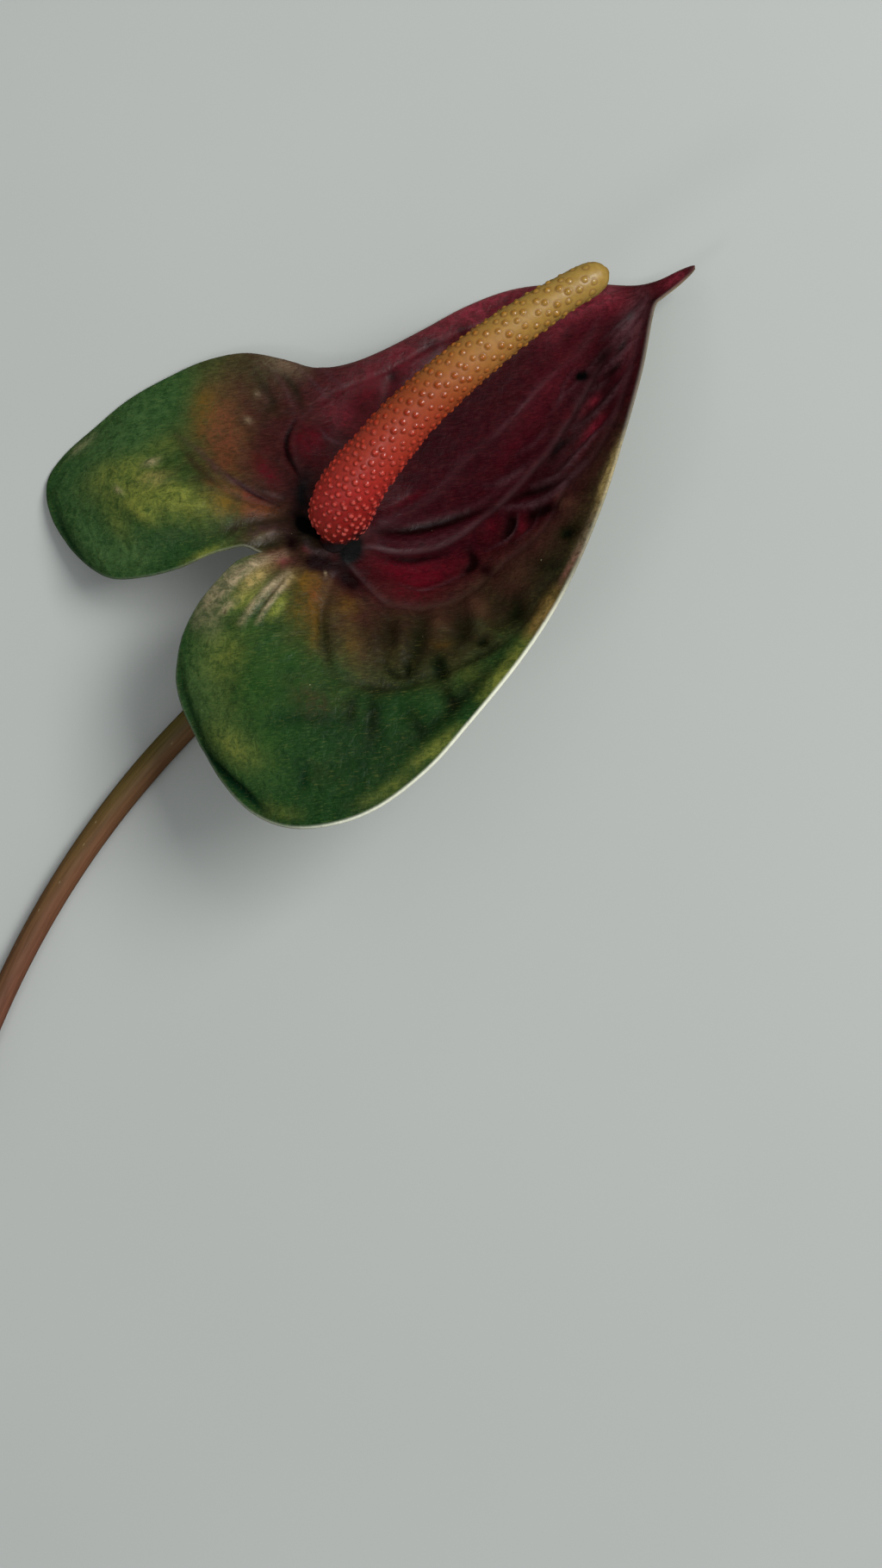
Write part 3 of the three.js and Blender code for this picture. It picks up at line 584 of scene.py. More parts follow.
def direction(heading, rise):
    """The unit vector with that plan heading and climb."""
    level = math.cos(rise)
    return np.array([level * math.cos(heading), level * math.sin(heading), math.sin(rise)])


JOINT_AXIS = direction(JOINT_HEADING, JOINT_RISE)


def flower_point(points):
    """Points of the flower's plan, with their heights, in the part's frame."""
    cos, sin = math.cos(FLOWER_HEADING), math.sin(FLOWER_HEADING)
    along, across, height = np.moveaxis(np.asarray(points, float), -1, 0)
    x = JOINT[0] + along * cos - across * sin
    y = JOINT[1] + along * sin + across * cos
    return np.stack([x, y, height], axis=-1)


def distances(line):
    """How far along a line each of its points is."""
    steps = np.linalg.norm(np.diff(line, axis=0), axis=1)
    return np.concatenate([[0], np.cumsum(steps)])


def at_distances(wanted, distance, rows):
    """The rows that belong to the distances, at the wanted distances."""
    return np.stack([np.interp(wanted, distance, column) for column in rows.T], axis=-1)


def with_ends(points):
    """The points with one more straight on at each end."""
    points = np.asarray(points, float)
    return np.vstack([2 * points[0] - points[1], points, 2 * points[-1] - points[-2]])


def cubic_through(start, end, leave, arrive, share):
    """The cubic from start to end that leaves and arrives at those rates."""
    cubic = 2 * start - 2 * end + leave + arrive
    square = -3 * start + 3 * end - 2 * leave - arrive
    return cubic * share**3 + square * share**2 + leave * share + start


def catmull_rom(points, where):
    """A uniform Catmull-Rom curve through the points, at shares of the way along."""
    ends = with_ends(points)
    spans = len(points) - 1
    place = spans * np.asarray(where, float)
    span = np.minimum(place.astype(int), spans - 1)
    before, start, end, after = (ends[span + k] for k in range(4))
    share = (place - span)[:, None]
    return cubic_through(start, end, (end - before) / 2, (after - start) / 2, share)


def centripetal(points, per_span):
    """A centripetal Catmull-Rom curve through the points, with that many steps in each span."""
    ends = with_ends(points)
    share = np.linspace(0, 1, per_span, endpoint=False)[:, None]
    line = []
    for before, start, end, after in zip(ends, ends[1:], ends[2:], ends[3:]):
        near, own, far = (
            math.sqrt(np.linalg.norm(b - a))
            for a, b in ((before, start), (start, end), (end, after))
        )
        leave = (start - before) / near - (end - before) / (near + own) + (end - start) / own
        arrive = (end - start) / own - (after - start) / (own + far) + (after - end) / far
        line.append(cubic_through(start, end, leave * own, arrive * own, share))
    return np.vstack([*line, ends[-2]])


def even_line(points, count):
    """Evenly spaced points on a smooth curve through the points."""
    fine = catmull_rom(points, np.linspace(0, 1, CURVE_STEPS * len(points)))
    distance = distances(fine)
    return at_distances(np.linspace(0, distance[-1], count), distance, fine)


def across_axes(along):
    """Two unit vectors square to each direction: one level, one towards the top."""
    side = unit(np.cross([0, 0, 1], along))
    return side, np.cross(along, side)


def tube_faces(rings, columns):
    """The quads between closed rings of vertices that are numbered ring by ring."""
    ring, column = np.meshgrid(np.arange(rings - 1), np.arange(columns), indexing="ij")
    following = (column + 1) % columns
    near, far = ring * columns, (ring + 1) * columns
    quads = np.stack([near + column, near + following, far + following, far + column], axis=-1)
    return quads.reshape(-1, 4).tolist()


def end_faces(rings, columns):
    """One face across each end of such a tube."""
    return [list(range(first, first + columns)) for first in (0, (rings - 1) * columns)]


def make_piece(name, vertices, faces, materials, values, face_materials=None):
    """A smooth-shaded mesh object from millimetre vertices, with values kept at each vertex."""
    mesh = bpy.data.meshes.new(name)
    mesh.from_pydata((np.asarray(vertices) * METRES).tolist(), [], faces)
    for key, numbers in values.items():
        layer = mesh.attributes.new(key, "FLOAT", "POINT")
        layer.data.foreach_set("value", np.asarray(numbers, np.float32))
    for material in materials:
        mesh.materials.append(material)
    if face_materials is not None:
        mesh.polygons.foreach_set("material_index", np.asarray(face_materials, np.int32))
    shaped = bmesh.new()
    shaped.from_mesh(mesh)
    bmesh.ops.recalc_face_normals(shaped, faces=shaped.faces)
    shaped.to_mesh(mesh)
    shaped.free()
    mesh.shade_smooth()
    return add_object(name, mesh)


def add_object(name, data):
    added = bpy.data.objects.new(name, data)
    bpy.context.scene.collection.objects.link(added)
    return added


def dress(piece, node):
    """Puts a piece under the root body and hides the CAD node that it stands for."""
    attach(piece, "root")
    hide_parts(node)


# -------- nodes


class Nodes:
    """A material's node tree. Each call adds a node and returns the socket that it gives."""

    def __init__(self, name):
        self.material = bpy.data.materials.new(name)
        self.material.use_nodes = True
        self.tree = self.material.node_tree
        self.shader = self.tree.nodes["Principled BSDF"]
        place = self.add("TexCoord", "Object", {})
        self.place = self.add("VectorMath", 0, {0: place, "Scale": 1 / METRES}, operation="SCALE")

    def plug(self, value, socket):
        if isinstance(value, bpy.types.NodeSocket):
            self.tree.links.new(value, socket)
        else:
            socket.default_value = value

    def add(self, kind, output, inputs, **settings):
        node = self.tree.nodes.new("ShaderNode" + kind)
        for name, setting in settings.items():
            setattr(node, name, setting)
        for name, value in inputs.items():
            self.plug(value, node.inputs[name])
        return node.outputs[output]

    def set(self, **values):
        """Sets or links the shader's sockets; an underscore in a name stands for a space."""
        for name, value in values.items():
            self.plug(value, self.shader.inputs[name.replace("_", " ")])

    def value(self, name):
        """A value that the mesh keeps at each vertex."""
        return self.add("Attribute", "Fac", {}, attribute_name=name)

    def math(self, operation, first, second, clamp=False):
        return self.add("Math", 0, {0: first, 1: second}, operation=operation, use_clamp=clamp)

    def times(self, first, second):
        return self.math("MULTIPLY", first, second)

    def plus(self, first, second, share=None, clamp=False):
        """The first and that share of the second."""
        part = second if share is None else self.times(second, share)
        return self.math("ADD", first, part, clamp)

    def stretched(self, turn, scale):
        """The place in millimetres, turned about the vertical and then scaled along each axis."""
        inputs = {"Vector": self.place, "Rotation": (0, 0, turn), "Scale": scale}
        return self.add("Mapping", 0, inputs, vector_type="TEXTURE")

    def noise(self, size, detail=3.0, roughness=0.5, distortion=0.0, place=None):
        """Soft noise with features of that size in millimetres, about 0.5 on average."""
        return self.add("TexNoise", "Fac", {
            "Vector": place or self.place, "Scale": 1 / size, "Detail": detail,
            "Roughness": roughness, "Distortion": distortion,
        })

    def drift(self, *noise):
        """The same noise, about 0 on average."""
        return self.math("SUBTRACT", self.noise(*noise), 0.5)

    def cells(self, size, feature="F1", randomness=1.0, place=None):
        """The distance to the middle, or to the edge, of cells of that size."""
        inputs = {"Vector": place or self.place, "Scale": 1 / size, "Randomness": randomness}
        return self.add("TexVoronoi", "Distance", inputs, feature=feature)

    def span(self, value, low, high, to_low=0.0, to_high=1.0):
        """The value, moved smoothly from one range to another and kept inside it."""
        return self.add("MapRange", "Result", {
            "Value": value, "From Min": low, "From Max": high, "To Min": to_low, "To Max": to_high,
        }, interpolation_type="SMOOTHSTEP")

    def ramp(self, value, colours):
        """The colour at a value, from rows of place, red, green and blue."""
        node = self.tree.nodes.new("ShaderNodeValToRGB")
        points = node.color_ramp.elements
        while len(points) < len(colours):
            points.new(0.5)
        for point, (place, *colour) in zip(points, colours):
            point.position = place
            point.color = srgb(*colour)
        self.plug(value, node.inputs["Fac"])
        return node.outputs["Color"]

    def mix(self, share, first, second, blend="MIX"):
        inputs = {"Factor": share, "A": first, "B": second}
        return self.add("Mix", "Result", inputs, data_type="RGBA", blend_type=blend)

    def cover(self, share, under, colour):
        """A share of a colour laid over what is under it."""
        return self.mix(share, under, srgb(*colour))

    def shade(self, colour, tone):
        return self.mix(1.0, colour, tone, "MULTIPLY")

    def bump(self, height, depth, strength, under=None):
        """Bumps of that depth in millimetres where the height goes from 0 to 1."""
        inputs = {"Distance": depth * METRES, "Strength": strength, "Height": height}
        if under:
            inputs["Normal"] = under
        return self.add("Bump", "Normal", inputs)


# -------- spathe


def sheet_through(pins):
    """A thin elastic sheet through pins; gives its height and slopes at points of the plan."""
    pins = np.asarray(pins, float)
    places = pins[:, :2]
    count = len(pins)

    def squares(points):
        offset = points[:, None] - places[None]
        return offset, np.maximum((offset**2).sum(-1), LEAST_SQUARE)

    squared = squares(places)[1]
    rows = np.zeros((count + 3, count + 3))
    rows[:count, :count] = squared * np.log(squared)
    rows[:count, count] = 1
    rows[:count, count + 1 :] = places
    rows[count:, :count] = rows[:count, count:].T
    solved = np.linalg.solve(rows, np.concatenate([pins[:, 2], np.zeros(3)]))
    weights, level, tilt = solved[:count], solved[count], solved[count + 1 :]

    def at(points):
        heights, slopes = [], []
        for part in np.array_split(points, max(len(points) // POINTS_AT_ONCE, 1)):
            offset, squared = squares(part)
            logs = np.log(squared)
            heights.append((squared * logs) @ weights + level + part @ tilt)
            pull = 2 * (logs + 1) * weights
            slopes.append((pull[..., None] * offset).sum(1) + tilt)
        return np.concatenate(heights), np.concatenate(slopes)

    return at


def hub_pins():
    """Pins round the joint that hold the sheet square to the stem's axis."""
    heading = JOINT_HEADING - FLOWER_HEADING
    fall = HUB_PIN_RADIUS / math.tan(JOINT_RISE)
    angle = round_turn(HUB_PINS) + heading
    height = JOINT[2] - fall * np.cos(angle - heading)
    return np.stack([HUB_PIN_RADIUS * np.cos(angle), HUB_PIN_RADIUS * np.sin(angle), height], -1)


def margin_places():
    """Shares of the way round the margin, evenly spaced along it, with the tip among them."""
    fine = np.linspace(0, 1, MARGIN_STEPS + 1)
    distance = distances(catmull_rom(MARGIN[:, :3], fine))
    to_tip = np.interp(TIP_POINT / (len(MARGIN) - 1), fine, distance)
    first = round(SPATHE_COLUMNS * to_tip / distance[-1])
    wanted = np.concatenate([
        np.linspace(0, to_tip, first, endpoint=False),
        np.linspace(to_tip, distance[-1], SPATHE_COLUMNS - first, endpoint=False),
    ])
    return np.interp(wanted, distance, fine)


def fan(around, out):
    """Plan points of the spathe: a ring for each share of the way out, with a column for each place
    round the margin. Negative shares lead in from the hub's ring towards the joint."""
    ends = catmull_rom(MARGIN[:, [0, 1, 3]], around)
    heading = np.radians(ends[:, 2])
    leave = np.stack([np.cos(heading), np.sin(heading)], axis=-1)
    turn = leave * (RAY_BEND * np.hypot(ends[:, 0], ends[:, 1]))[:, None]
    start = leave * SPATHE_HUB_RADIUS
    share = np.asarray(out)[:, None, None]
    outside = np.maximum(share, 0)
    rays = (1 - outside) ** 2 * start + 2 * outside * (1 - outside) * turn
    rays = rays + outside**2 * ends[:, :2]
    return rays * (1 + np.minimum(share, 0))


def near_stroke(points, stroke, reach):
    """The points within reach of a stroke: which they are, how far off, and how far along it."""
    stroke = np.asarray(stroke, float)
    line = even_line(stroke, STROKE_STEPS * len(stroke)) if len(stroke) > 2 else stroke
    low, high = line.min(0) - reach, line.max(0) + reach
    picked = np.flatnonzero(((points > low) & (points < high)).all(1))
    step = np.diff(line, axis=0)
    length = np.linalg.norm(step, axis=1)
    offset = points[picked][:, None] - line[:-1][None]
    share = np.clip((offset * step).sum(-1) / length**2, 0, 1)
    gap = np.linalg.norm(offset - share[..., None] * step, axis=-1)
    nearest = gap.argmin(1)
    rows = np.arange(len(picked))
    travelled = distances(line)[:-1] + share * length
    return picked, gap[rows, nearest], travelled[rows, nearest] / length.sum()


def on_spathe(height, lines):
    """Lines of picture points laid on the spathe, on its plan, to a tenth of a millimetre."""
    pixels = np.vstack(lines) - PICTURE_CENTRE
    cos, sin = math.cos(FLOWER_HEADING), math.sin(FLOWER_HEADING)
    level = np.full(len(pixels), START_LEVEL)
    for _ in range(LEVEL_STEPS):
        scale = (CAMERA[2] - level) / PICTURE_FOCAL
        x = CAMERA[0] + pixels[:, 0] * scale - JOINT[0]
        y = CAMERA[1] - pixels[:, 1] * scale - JOINT[1]
        plan = np.stack([x * cos + y * sin, y * cos - x * sin], axis=-1)
        level = (level + height(plan)[0]) / 2
    ends = np.cumsum([len(line) for line in lines])[:-1]
    return np.split(plan.round(1), ends)


def mark_share(points, line, width):
    """The points that a mark reaches, and its share of its full strength there."""
    picked, gap, along = near_stroke(points, line, MARK_REACH * width)
    ends = np.clip(np.minimum(along, 1 - along) / MARK_FADE, 0, 1)
    return picked, (MARK_END + (1 - MARK_END) * ends) * np.exp(-((gap / width) ** 2))


def marks(height, points):
    """How strong each tint is, and how far the marks stand up, at points of the plan."""
    tints = {name: np.zeros(len(points)) for name in (*TINTS, "matt")}
    raised = np.zeros(len(points))
    lines = on_spathe(height, [row[4:] for row in MARKS])
    for (tint, strength, rise, width, *_), line in zip(MARKS, lines):
        picked, share = mark_share(points, line, width)
        tints[tint][picked] += strength * share
        raised[picked] += rise * share
    for rise, width, *line in SWELLINGS:
        picked, share = mark_share(points, line, width)
        raised[picked] += rise * share
    return {name: np.minimum(value, 1) for name, value in tints.items()}, raised


def vein_depth(height, points):
    """How deep the veins' grooves are at points of the plan. A vein thins out towards its end."""
    seen = on_spathe(height, [line for *_, line in SEEN_VEINS.values()])
    veins = list(VEINS.values())
    for (deep, width, start, _), line in zip(SEEN_VEINS.values(), seen):
        veins.append((deep, width, [start, *line]))
    depth = np.zeros(len(points))
    for deep, width, line in veins:
        picked, gap, along = near_stroke(points, line, MARK_REACH * width)
        groove = deep * (1 - VEIN_THINNING * along) * np.exp(-((gap / width) ** 2))
        depth[picked] = np.maximum(depth[picked], groove)
    return depth


def redness(height, points):
    """How far the face has turned red at points of the plan, from 0 to 1."""
    lines = on_spathe(height, list(REDNESS.values()))
    pins = [(*place, level) for level, line in zip(REDNESS, lines) for place in line]
    return np.clip(sheet_through(pins)(points)[0], 0, 1)


def spathe_sheet(height, plan, side):
    """The upper (side 1) or lower (side -1) surface over plan points, with its values."""
    points = plan.reshape(-1, 2)
    level, slopes = height(points)
    normal = unit(np.column_stack([-slopes, np.ones(len(points))]))
    rim = near_stroke(points, MARGIN[:, :2], FAR)[1]
    reach = np.hypot(*points.T)
    out = np.clip((reach - SPATHE_HUB_RADIUS) / (rim + reach - SPATHE_HUB_RADIUS), 0, 1)
    thickness = SPATHE_CENTRE_THICKNESS + (SPATHE_EDGE_THICKNESS - SPATHE_CENTRE_THICKNESS) * out
    off_hub = np.clip((reach - HUB_PIN_RADIUS) / HUB_PIN_RADIUS, 0, 1)
    veins = vein_depth(height, points)
    tints, raised = marks(height, points)
    shift = (raised - veins) * off_hub + side * thickness / 2
    places = np.column_stack([points, level]) + normal * shift[:, None]
    vein = np.clip(veins / FULL_VEIN, 0, 1)
    return places, {"redness": redness(height, points), "vein": vein, "rim": rim, **tints}


def edge_rings(inside, top, low):
    """Rings that round off the rim from its top edge to its low one; inside leads to the top."""
    middle, half = (top + low) / 2, (top - low) / 2
    outward = top - inside
    outward -= half * ((outward * half).sum(1) / (half * half).sum(1))[:, None]
    bulge = unit(outward) * np.linalg.norm(half, axis=1)[:, None]
    angles = math.pi * np.arange(1, EDGE_ROUNDING + 1) / (EDGE_ROUNDING + 1)
    return [middle + half * math.cos(angle) + bulge * math.sin(angle) for angle in angles]


def make_spathe():
    height = sheet_through(np.vstack([MARGIN[:-1, :3], INNER_PINS, hub_pins()]))
    around = margin_places()
    columns = len(around)
    inward = HUB_INNER_RADIUS / SPATHE_HUB_RADIUS - 1
    hub = np.linspace(inward, 0, HUB_RINGS, endpoint=False)
    upper_plan, under_plan = (
        fan(around, np.concatenate([hub, np.linspace(0, 1, rings)]))
        for rings in (SPATHE_TOP_RINGS, SPATHE_UNDER_RINGS)
    )
    upper, upper_values = spathe_sheet(height, upper_plan, 1)
    under, under_values = spathe_sheet(height, under_plan[::-1], -1)
    edge = edge_rings(upper[-2 * columns : -columns], upper[-columns:], under[:columns])
    vertices = np.vstack([upper, *edge, under])
    rings = len(vertices) // columns
    values = {}
    for key, above in upper_values.items():
        rim = above[-columns:]
        values[key] = np.concatenate([above, *[rim] * EDGE_ROUNDING, under_values[key]])
    values["underside"] = np.concatenate([
        np.zeros(len(upper)),
        np.repeat(np.linspace(0, RIM_UNDERSIDE, EDGE_ROUNDING), columns),
        np.ones(len(under)),
    ])
    paleness = between(RIM_PALENESS, around * (len(MARGIN) - 1))
    values["pale_rim"] = np.tile(paleness, rings) * np.exp(-((values["rim"] / RIM_WIDTH) ** 2))
    faces = tube_faces(rings, columns) + end_faces(rings, columns)
    piece = make_piece("spathe_sheet", flower_point(vertices), faces, [spathe_material()], values)
    dress(piece, "spathe")


def spathe_face_colour(nodes):
    """The glossy face: green lobes, a brown and golden middle zone, and a crimson heart."""
    red = nodes.plus(nodes.value("redness"), nodes.drift(9, 4, 0.6, 0.6), 0.55)
    red = nodes.plus(red, nodes.drift(1.6, 4, 0.7), 0.16, clamp=True)
    fibres = nodes.noise(1.0, 3, 0.7, 0.4, nodes.stretched(0.12, (1.3, 0.26, 0.6)))
    blotches = nodes.noise(4.0, 6, 0.7, 1.0)
    tone = nodes.times(nodes.span(fibres, 0.3, 0.7, 0.68, 1.38),
                       nodes.span(blotches, 0.3, 0.7, 0.78, 1.24))
    colour = nodes.shade(nodes.ramp(red, FACE_COLOURS), tone)
    # A painted sheen along the veins, strongest in the red zones.
    vein_sheen = nodes.times(nodes.value("vein"), nodes.span(red, 0.4, 0.9, 0.1, 0.5))
    colour = nodes.cover(vein_sheen, colour, VEIN_SHEEN_COLOUR)
    patches = nodes.span(nodes.noise(1.7, 5, 0.8, 0.8), 0.36, 0.64, 0.35, 1.12)
    patches = nodes.times(patches, nodes.span(fibres, 0.3, 0.6, 0.65, 1.05))
    # The tints also lay painted sheen, highlights and glare, and painted shade in folds, grooves and the
    # hollow round the joint.
    for name, tint in TINTS.items():
        strength = nodes.value(name)
        if name not in SOLID_TINTS:
            strength = nodes.times(strength, patches)
        colour = nodes.cover(strength, colour, tint)
    flecks = nodes.times(nodes.span(fibres, 0.54, 0.74, 0, 0.32), nodes.span(red, 0.1, 0.6, 1, 0.1))
    colour = nodes.cover(flecks, colour, FLECK_COLOUR)
    return nodes.cover(nodes.span(nodes.cells(6.0), 0.012, 0.025, 0.6, 0), colour, SPECK_COLOUR)


def spathe_material():
    nodes = Nodes("spathe_skin")
    underside = nodes.ramp(nodes.noise(6, 5, 0.6), UNDERSIDE_COLOURS)
    colour = nodes.mix(nodes.value("underside"), spathe_face_colour(nodes), underside)
    colour = nodes.cover(nodes.times(nodes.value("pale_rim"), RIM_STRENGTH), colour, RIM_COLOUR)
    network = nodes.cells(4.5, "DISTANCE_TO_EDGE", place=nodes.stretched(0.65, (1.9, 0.9, 1.0)))
    waves = nodes.times(nodes.noise(2.3, 4, 0.6, 0.5),
                        nodes.span(nodes.value("redness"), 0.1, 0.7, 1, 0.45))
    bumps = nodes.bump(nodes.noise(0.35, 3, 0.6), 0.02, 0.5)
    bumps = nodes.bump(nodes.span(network, 0, 0.12), 0.03, 0.5, bumps)
    bumps = nodes.bump(waves, 0.7, 0.6, bumps)
    rough = nodes.span(nodes.noise(2.0, 4, 0.6), 0.3, 0.7, 0.36, 0.5)
    rough = nodes.plus(rough, nodes.value("underside"), 0.25)
    rough = nodes.plus(rough, nodes.span(nodes.value("matt"), 0, 1, 0, 0.5))
    nodes.set(Base_Color=colour, Roughness=rough, Normal=bumps, Specular_IOR_Level=0.2)
    return nodes.material


# -------- spadix


def spadix_line(shares):
    """Points and directions of the spadix's centre line at shares of its length, and the length."""
    foot = JOINT + JOINT_AXIS * (SPATHE_CENTRE_THICKNESS / 2 + JOINT_GAP)
    fine = centripetal([foot, *flower_point(SPADIX_LINE)], SPADIX_SPAN_STEPS)
    distance = distances(fine)
    wanted = shares * distance[-1]
    along = at_distances(wanted, distance, np.gradient(fine, axis=0))
    return at_distances(wanted, distance, fine), unit(along), distance[-1]


def smooth_radius(shares):
    """The spadix's outer radius, with the corners of its listed shape rounded off."""
    fine = np.linspace(-SHAPE_OVERRUN, 1 + SHAPE_OVERRUN, SHAPE_STEPS + 1)
    window = np.hanning(SHAPE_WINDOW)
    padded = np.pad(between(SPADIX_SHAPE, fine), SHAPE_WINDOW // 2, mode="edge")
    return np.interp(shares, fine, np.convolve(padded, window / window.sum(), mode="valid"))


def nub_places(length, random):
    """Shares of the length and angles of the nubs, each a golden angle on from the one before."""
    places = []
    share, angle = NUBS_FROM, 0.0
    while share < NUBS_TO:
        radius = max(float(smooth_radius(share)), SLIMMEST_NUBBED)
        spacing = float(between(NUB_SPACING, share))
        aside, round_it = NUB_JITTER * random.uniform(-1, 1, 2)
        places.append((share + aside / length, angle + round_it / radius))
        share += ROW_SPACING * spacing**2 / (2 * math.pi * radius * length)
        angle += GOLDEN_ANGLE
    return np.array(places)


def skin_points(shares, angles):
    """Points on the spadix's skin between the nubs."""
    centre, along, _ = spadix_line(shares)
    side, top = across_axes(along)
    radius = (smooth_radius(shares) - NUB_HEIGHT * between(SKIN_DEPTH, shares))[:, None]
    return centre + radius * (side * np.cos(angles)[:, None] + top * np.sin(angles)[:, None])


def nearest_nub(skin, nubs, sizes):
    """The size of the nub nearest to each point, and how many of its radii it is away."""
    tree = kdtree.KDTree(len(nubs))
    for index, nub in enumerate(nubs):
        tree.insert(Vector(nub), index)
    tree.balance()
    found = [tree.find(Vector(point)) for point in skin]
    size = sizes[[index for _, index, _ in found]]
    return size, np.array([gap for _, _, gap in found]) / (NUB_RADIUS * size)


def make_spadix():
    random = np.random.default_rng(SEED)
    (foot, tip), _, length = spadix_line(np.array([0.0, 1.0]))
    grids = np.meshgrid(np.linspace(0, 1, SPADIX_SECTIONS), round_turn(SPADIX_SIDES), indexing="ij")
    share, turn = (grid.ravel() for grid in grids)
    skin = skin_points(share, turn)
    grid = skin.reshape(SPADIX_SECTIONS, SPADIX_SIDES, 3)
    round_step = np.roll(grid, -1, axis=1) - np.roll(grid, 1, axis=1)
    normal = unit(np.cross(round_step, np.gradient(grid, axis=0)).reshape(-1, 3))
    nubs = skin_points(*nub_places(length, random).T)
    size, gap = nearest_nub(skin, nubs, random.uniform(*NUB_SIZES, len(nubs)))
    covered = share > NUBS_FROM
    nub = size * np.maximum(1 - gap**2, 0) * between(NUB_GROWTH, share) * covered
    foot_ring = np.exp(-(((gap - FOOT_RING_PLACE) / FOOT_RING_WIDTH) ** 2)) * covered
    skin = skin + normal * (NUB_HEIGHT * nub - FOOT_RING_DEPTH * foot_ring)[:, None]
    sink = JOINT_AXIS * STALK_SINK
    skin[:SPADIX_SIDES] -= sink
    faces = tube_faces(SPADIX_SECTIONS, SPADIX_SIDES)
    last = len(skin) - SPADIX_SIDES
    for k in range(SPADIX_SIDES):
        following = (k + 1) % SPADIX_SIDES
        faces.append([following, k, len(skin)])
        faces.append([last + k, last + following, len(skin) + 1])
    values = {"share": share, "nub": nub, "foot_ring": foot_ring, "lean": np.cos(turn)}
    # At the foot and the tip the share is 0 and 1, and all else is 0.
    values = {key: np.append(value, (0, key == "share")) for key, value in values.items()}
    vertices = np.vstack([skin, foot - sink, tip])
    piece = make_piece("spadix_spike", vertices, faces, [spadix_material()], values)
    dress(piece, "spadix")


def spadix_material():
    nodes = Nodes("spadix_skin")
    nub = nodes.value("nub")
    share = nodes.plus(nodes.value("share"), nodes.drift(5, 4, 0.6), 0.09)
    share = nodes.plus(share, nodes.value("lean"), 0.05)
    skin, bead = nodes.ramp(share, SKIN_COLOURS), nodes.ramp(share, BEAD_COLOURS)
    # The nubs' tops take these colours, partly a painted highlight at the lower end.
    colour = nodes.mix(nodes.span(nub, 0.4, 0.95), skin, bead)
    colour = nodes.shade(colour, nodes.span(nodes.noise(0.8, 4, 0.65), 0.25, 0.75, 0.88, 1.1))
    # Painted shade round each nub's foot.
    colour = nodes.cover(nodes.times(nodes.value("foot_ring"), 0.4), colour, FOOT_RING_SHADE)
    bumps = nodes.bump(nodes.noise(0.22, 3, 0.6), 0.015, 0.6)
    rough = nodes.span(nodes.noise(1.2, 3, 0.6), 0.3, 0.7, 0.38, 0.48)
    rough = nodes.math("SUBTRACT", rough, nodes.span(nub, 0.05, 0.4, 0, 0.26))
    nodes.set(Base_Color=colour, Roughness=rough, Normal=bumps, Coat_Weight=0.1,
              Coat_Roughness=0.15, Specular_IOR_Level=0.5, Subsurface_Weight=0.12,
              Subsurface_Scale=0.0012, Subsurface_Radius=(1.0, 0.45, 0.25))
    return nodes.material


# -------- peduncle


def peduncle_line():
    """Centres, directions, radii and distances of the cut stem, from the joint to the cut."""
    start = JOINT - JOINT_AXIS * (SPATHE_CENTRE_THICKNESS / 2 + JOINT_GAP)
    top_radius = PEDUNCLE_SHAPE[0][1]
    neck = (start[2] - top_radius) * JOINT_RISE / (1 - math.cos(JOINT_RISE))
    plan_length = sum(length for length, _ in PEDUNCLE_BENDS)
    point, heading, travelled, plan = start.copy(), JOINT_HEADING + math.pi, 0.0, 0.0
    rows = []
    for length, turn in PEDUNCLE_BENDS:
        end = plan + length
        while plan < end:
            rise = JOINT_RISE * max(1 - (travelled + PEDUNCLE_LINE_STEP / 2) / neck, 0)
            along = direction(heading, -rise)
            radius = float(between(PEDUNCLE_SHAPE, plan / plan_length))
            lifted = point + (0, 0, radius - top_radius)
            rows.append((*lifted, *along, radius, travelled))
            point = point + along * PEDUNCLE_LINE_STEP
            travelled += PEDUNCLE_LINE_STEP
            forward = PEDUNCLE_LINE_STEP * math.cos(rise)
            plan += forward
            heading += math.radians(turn) * forward / length
    return np.array(rows)


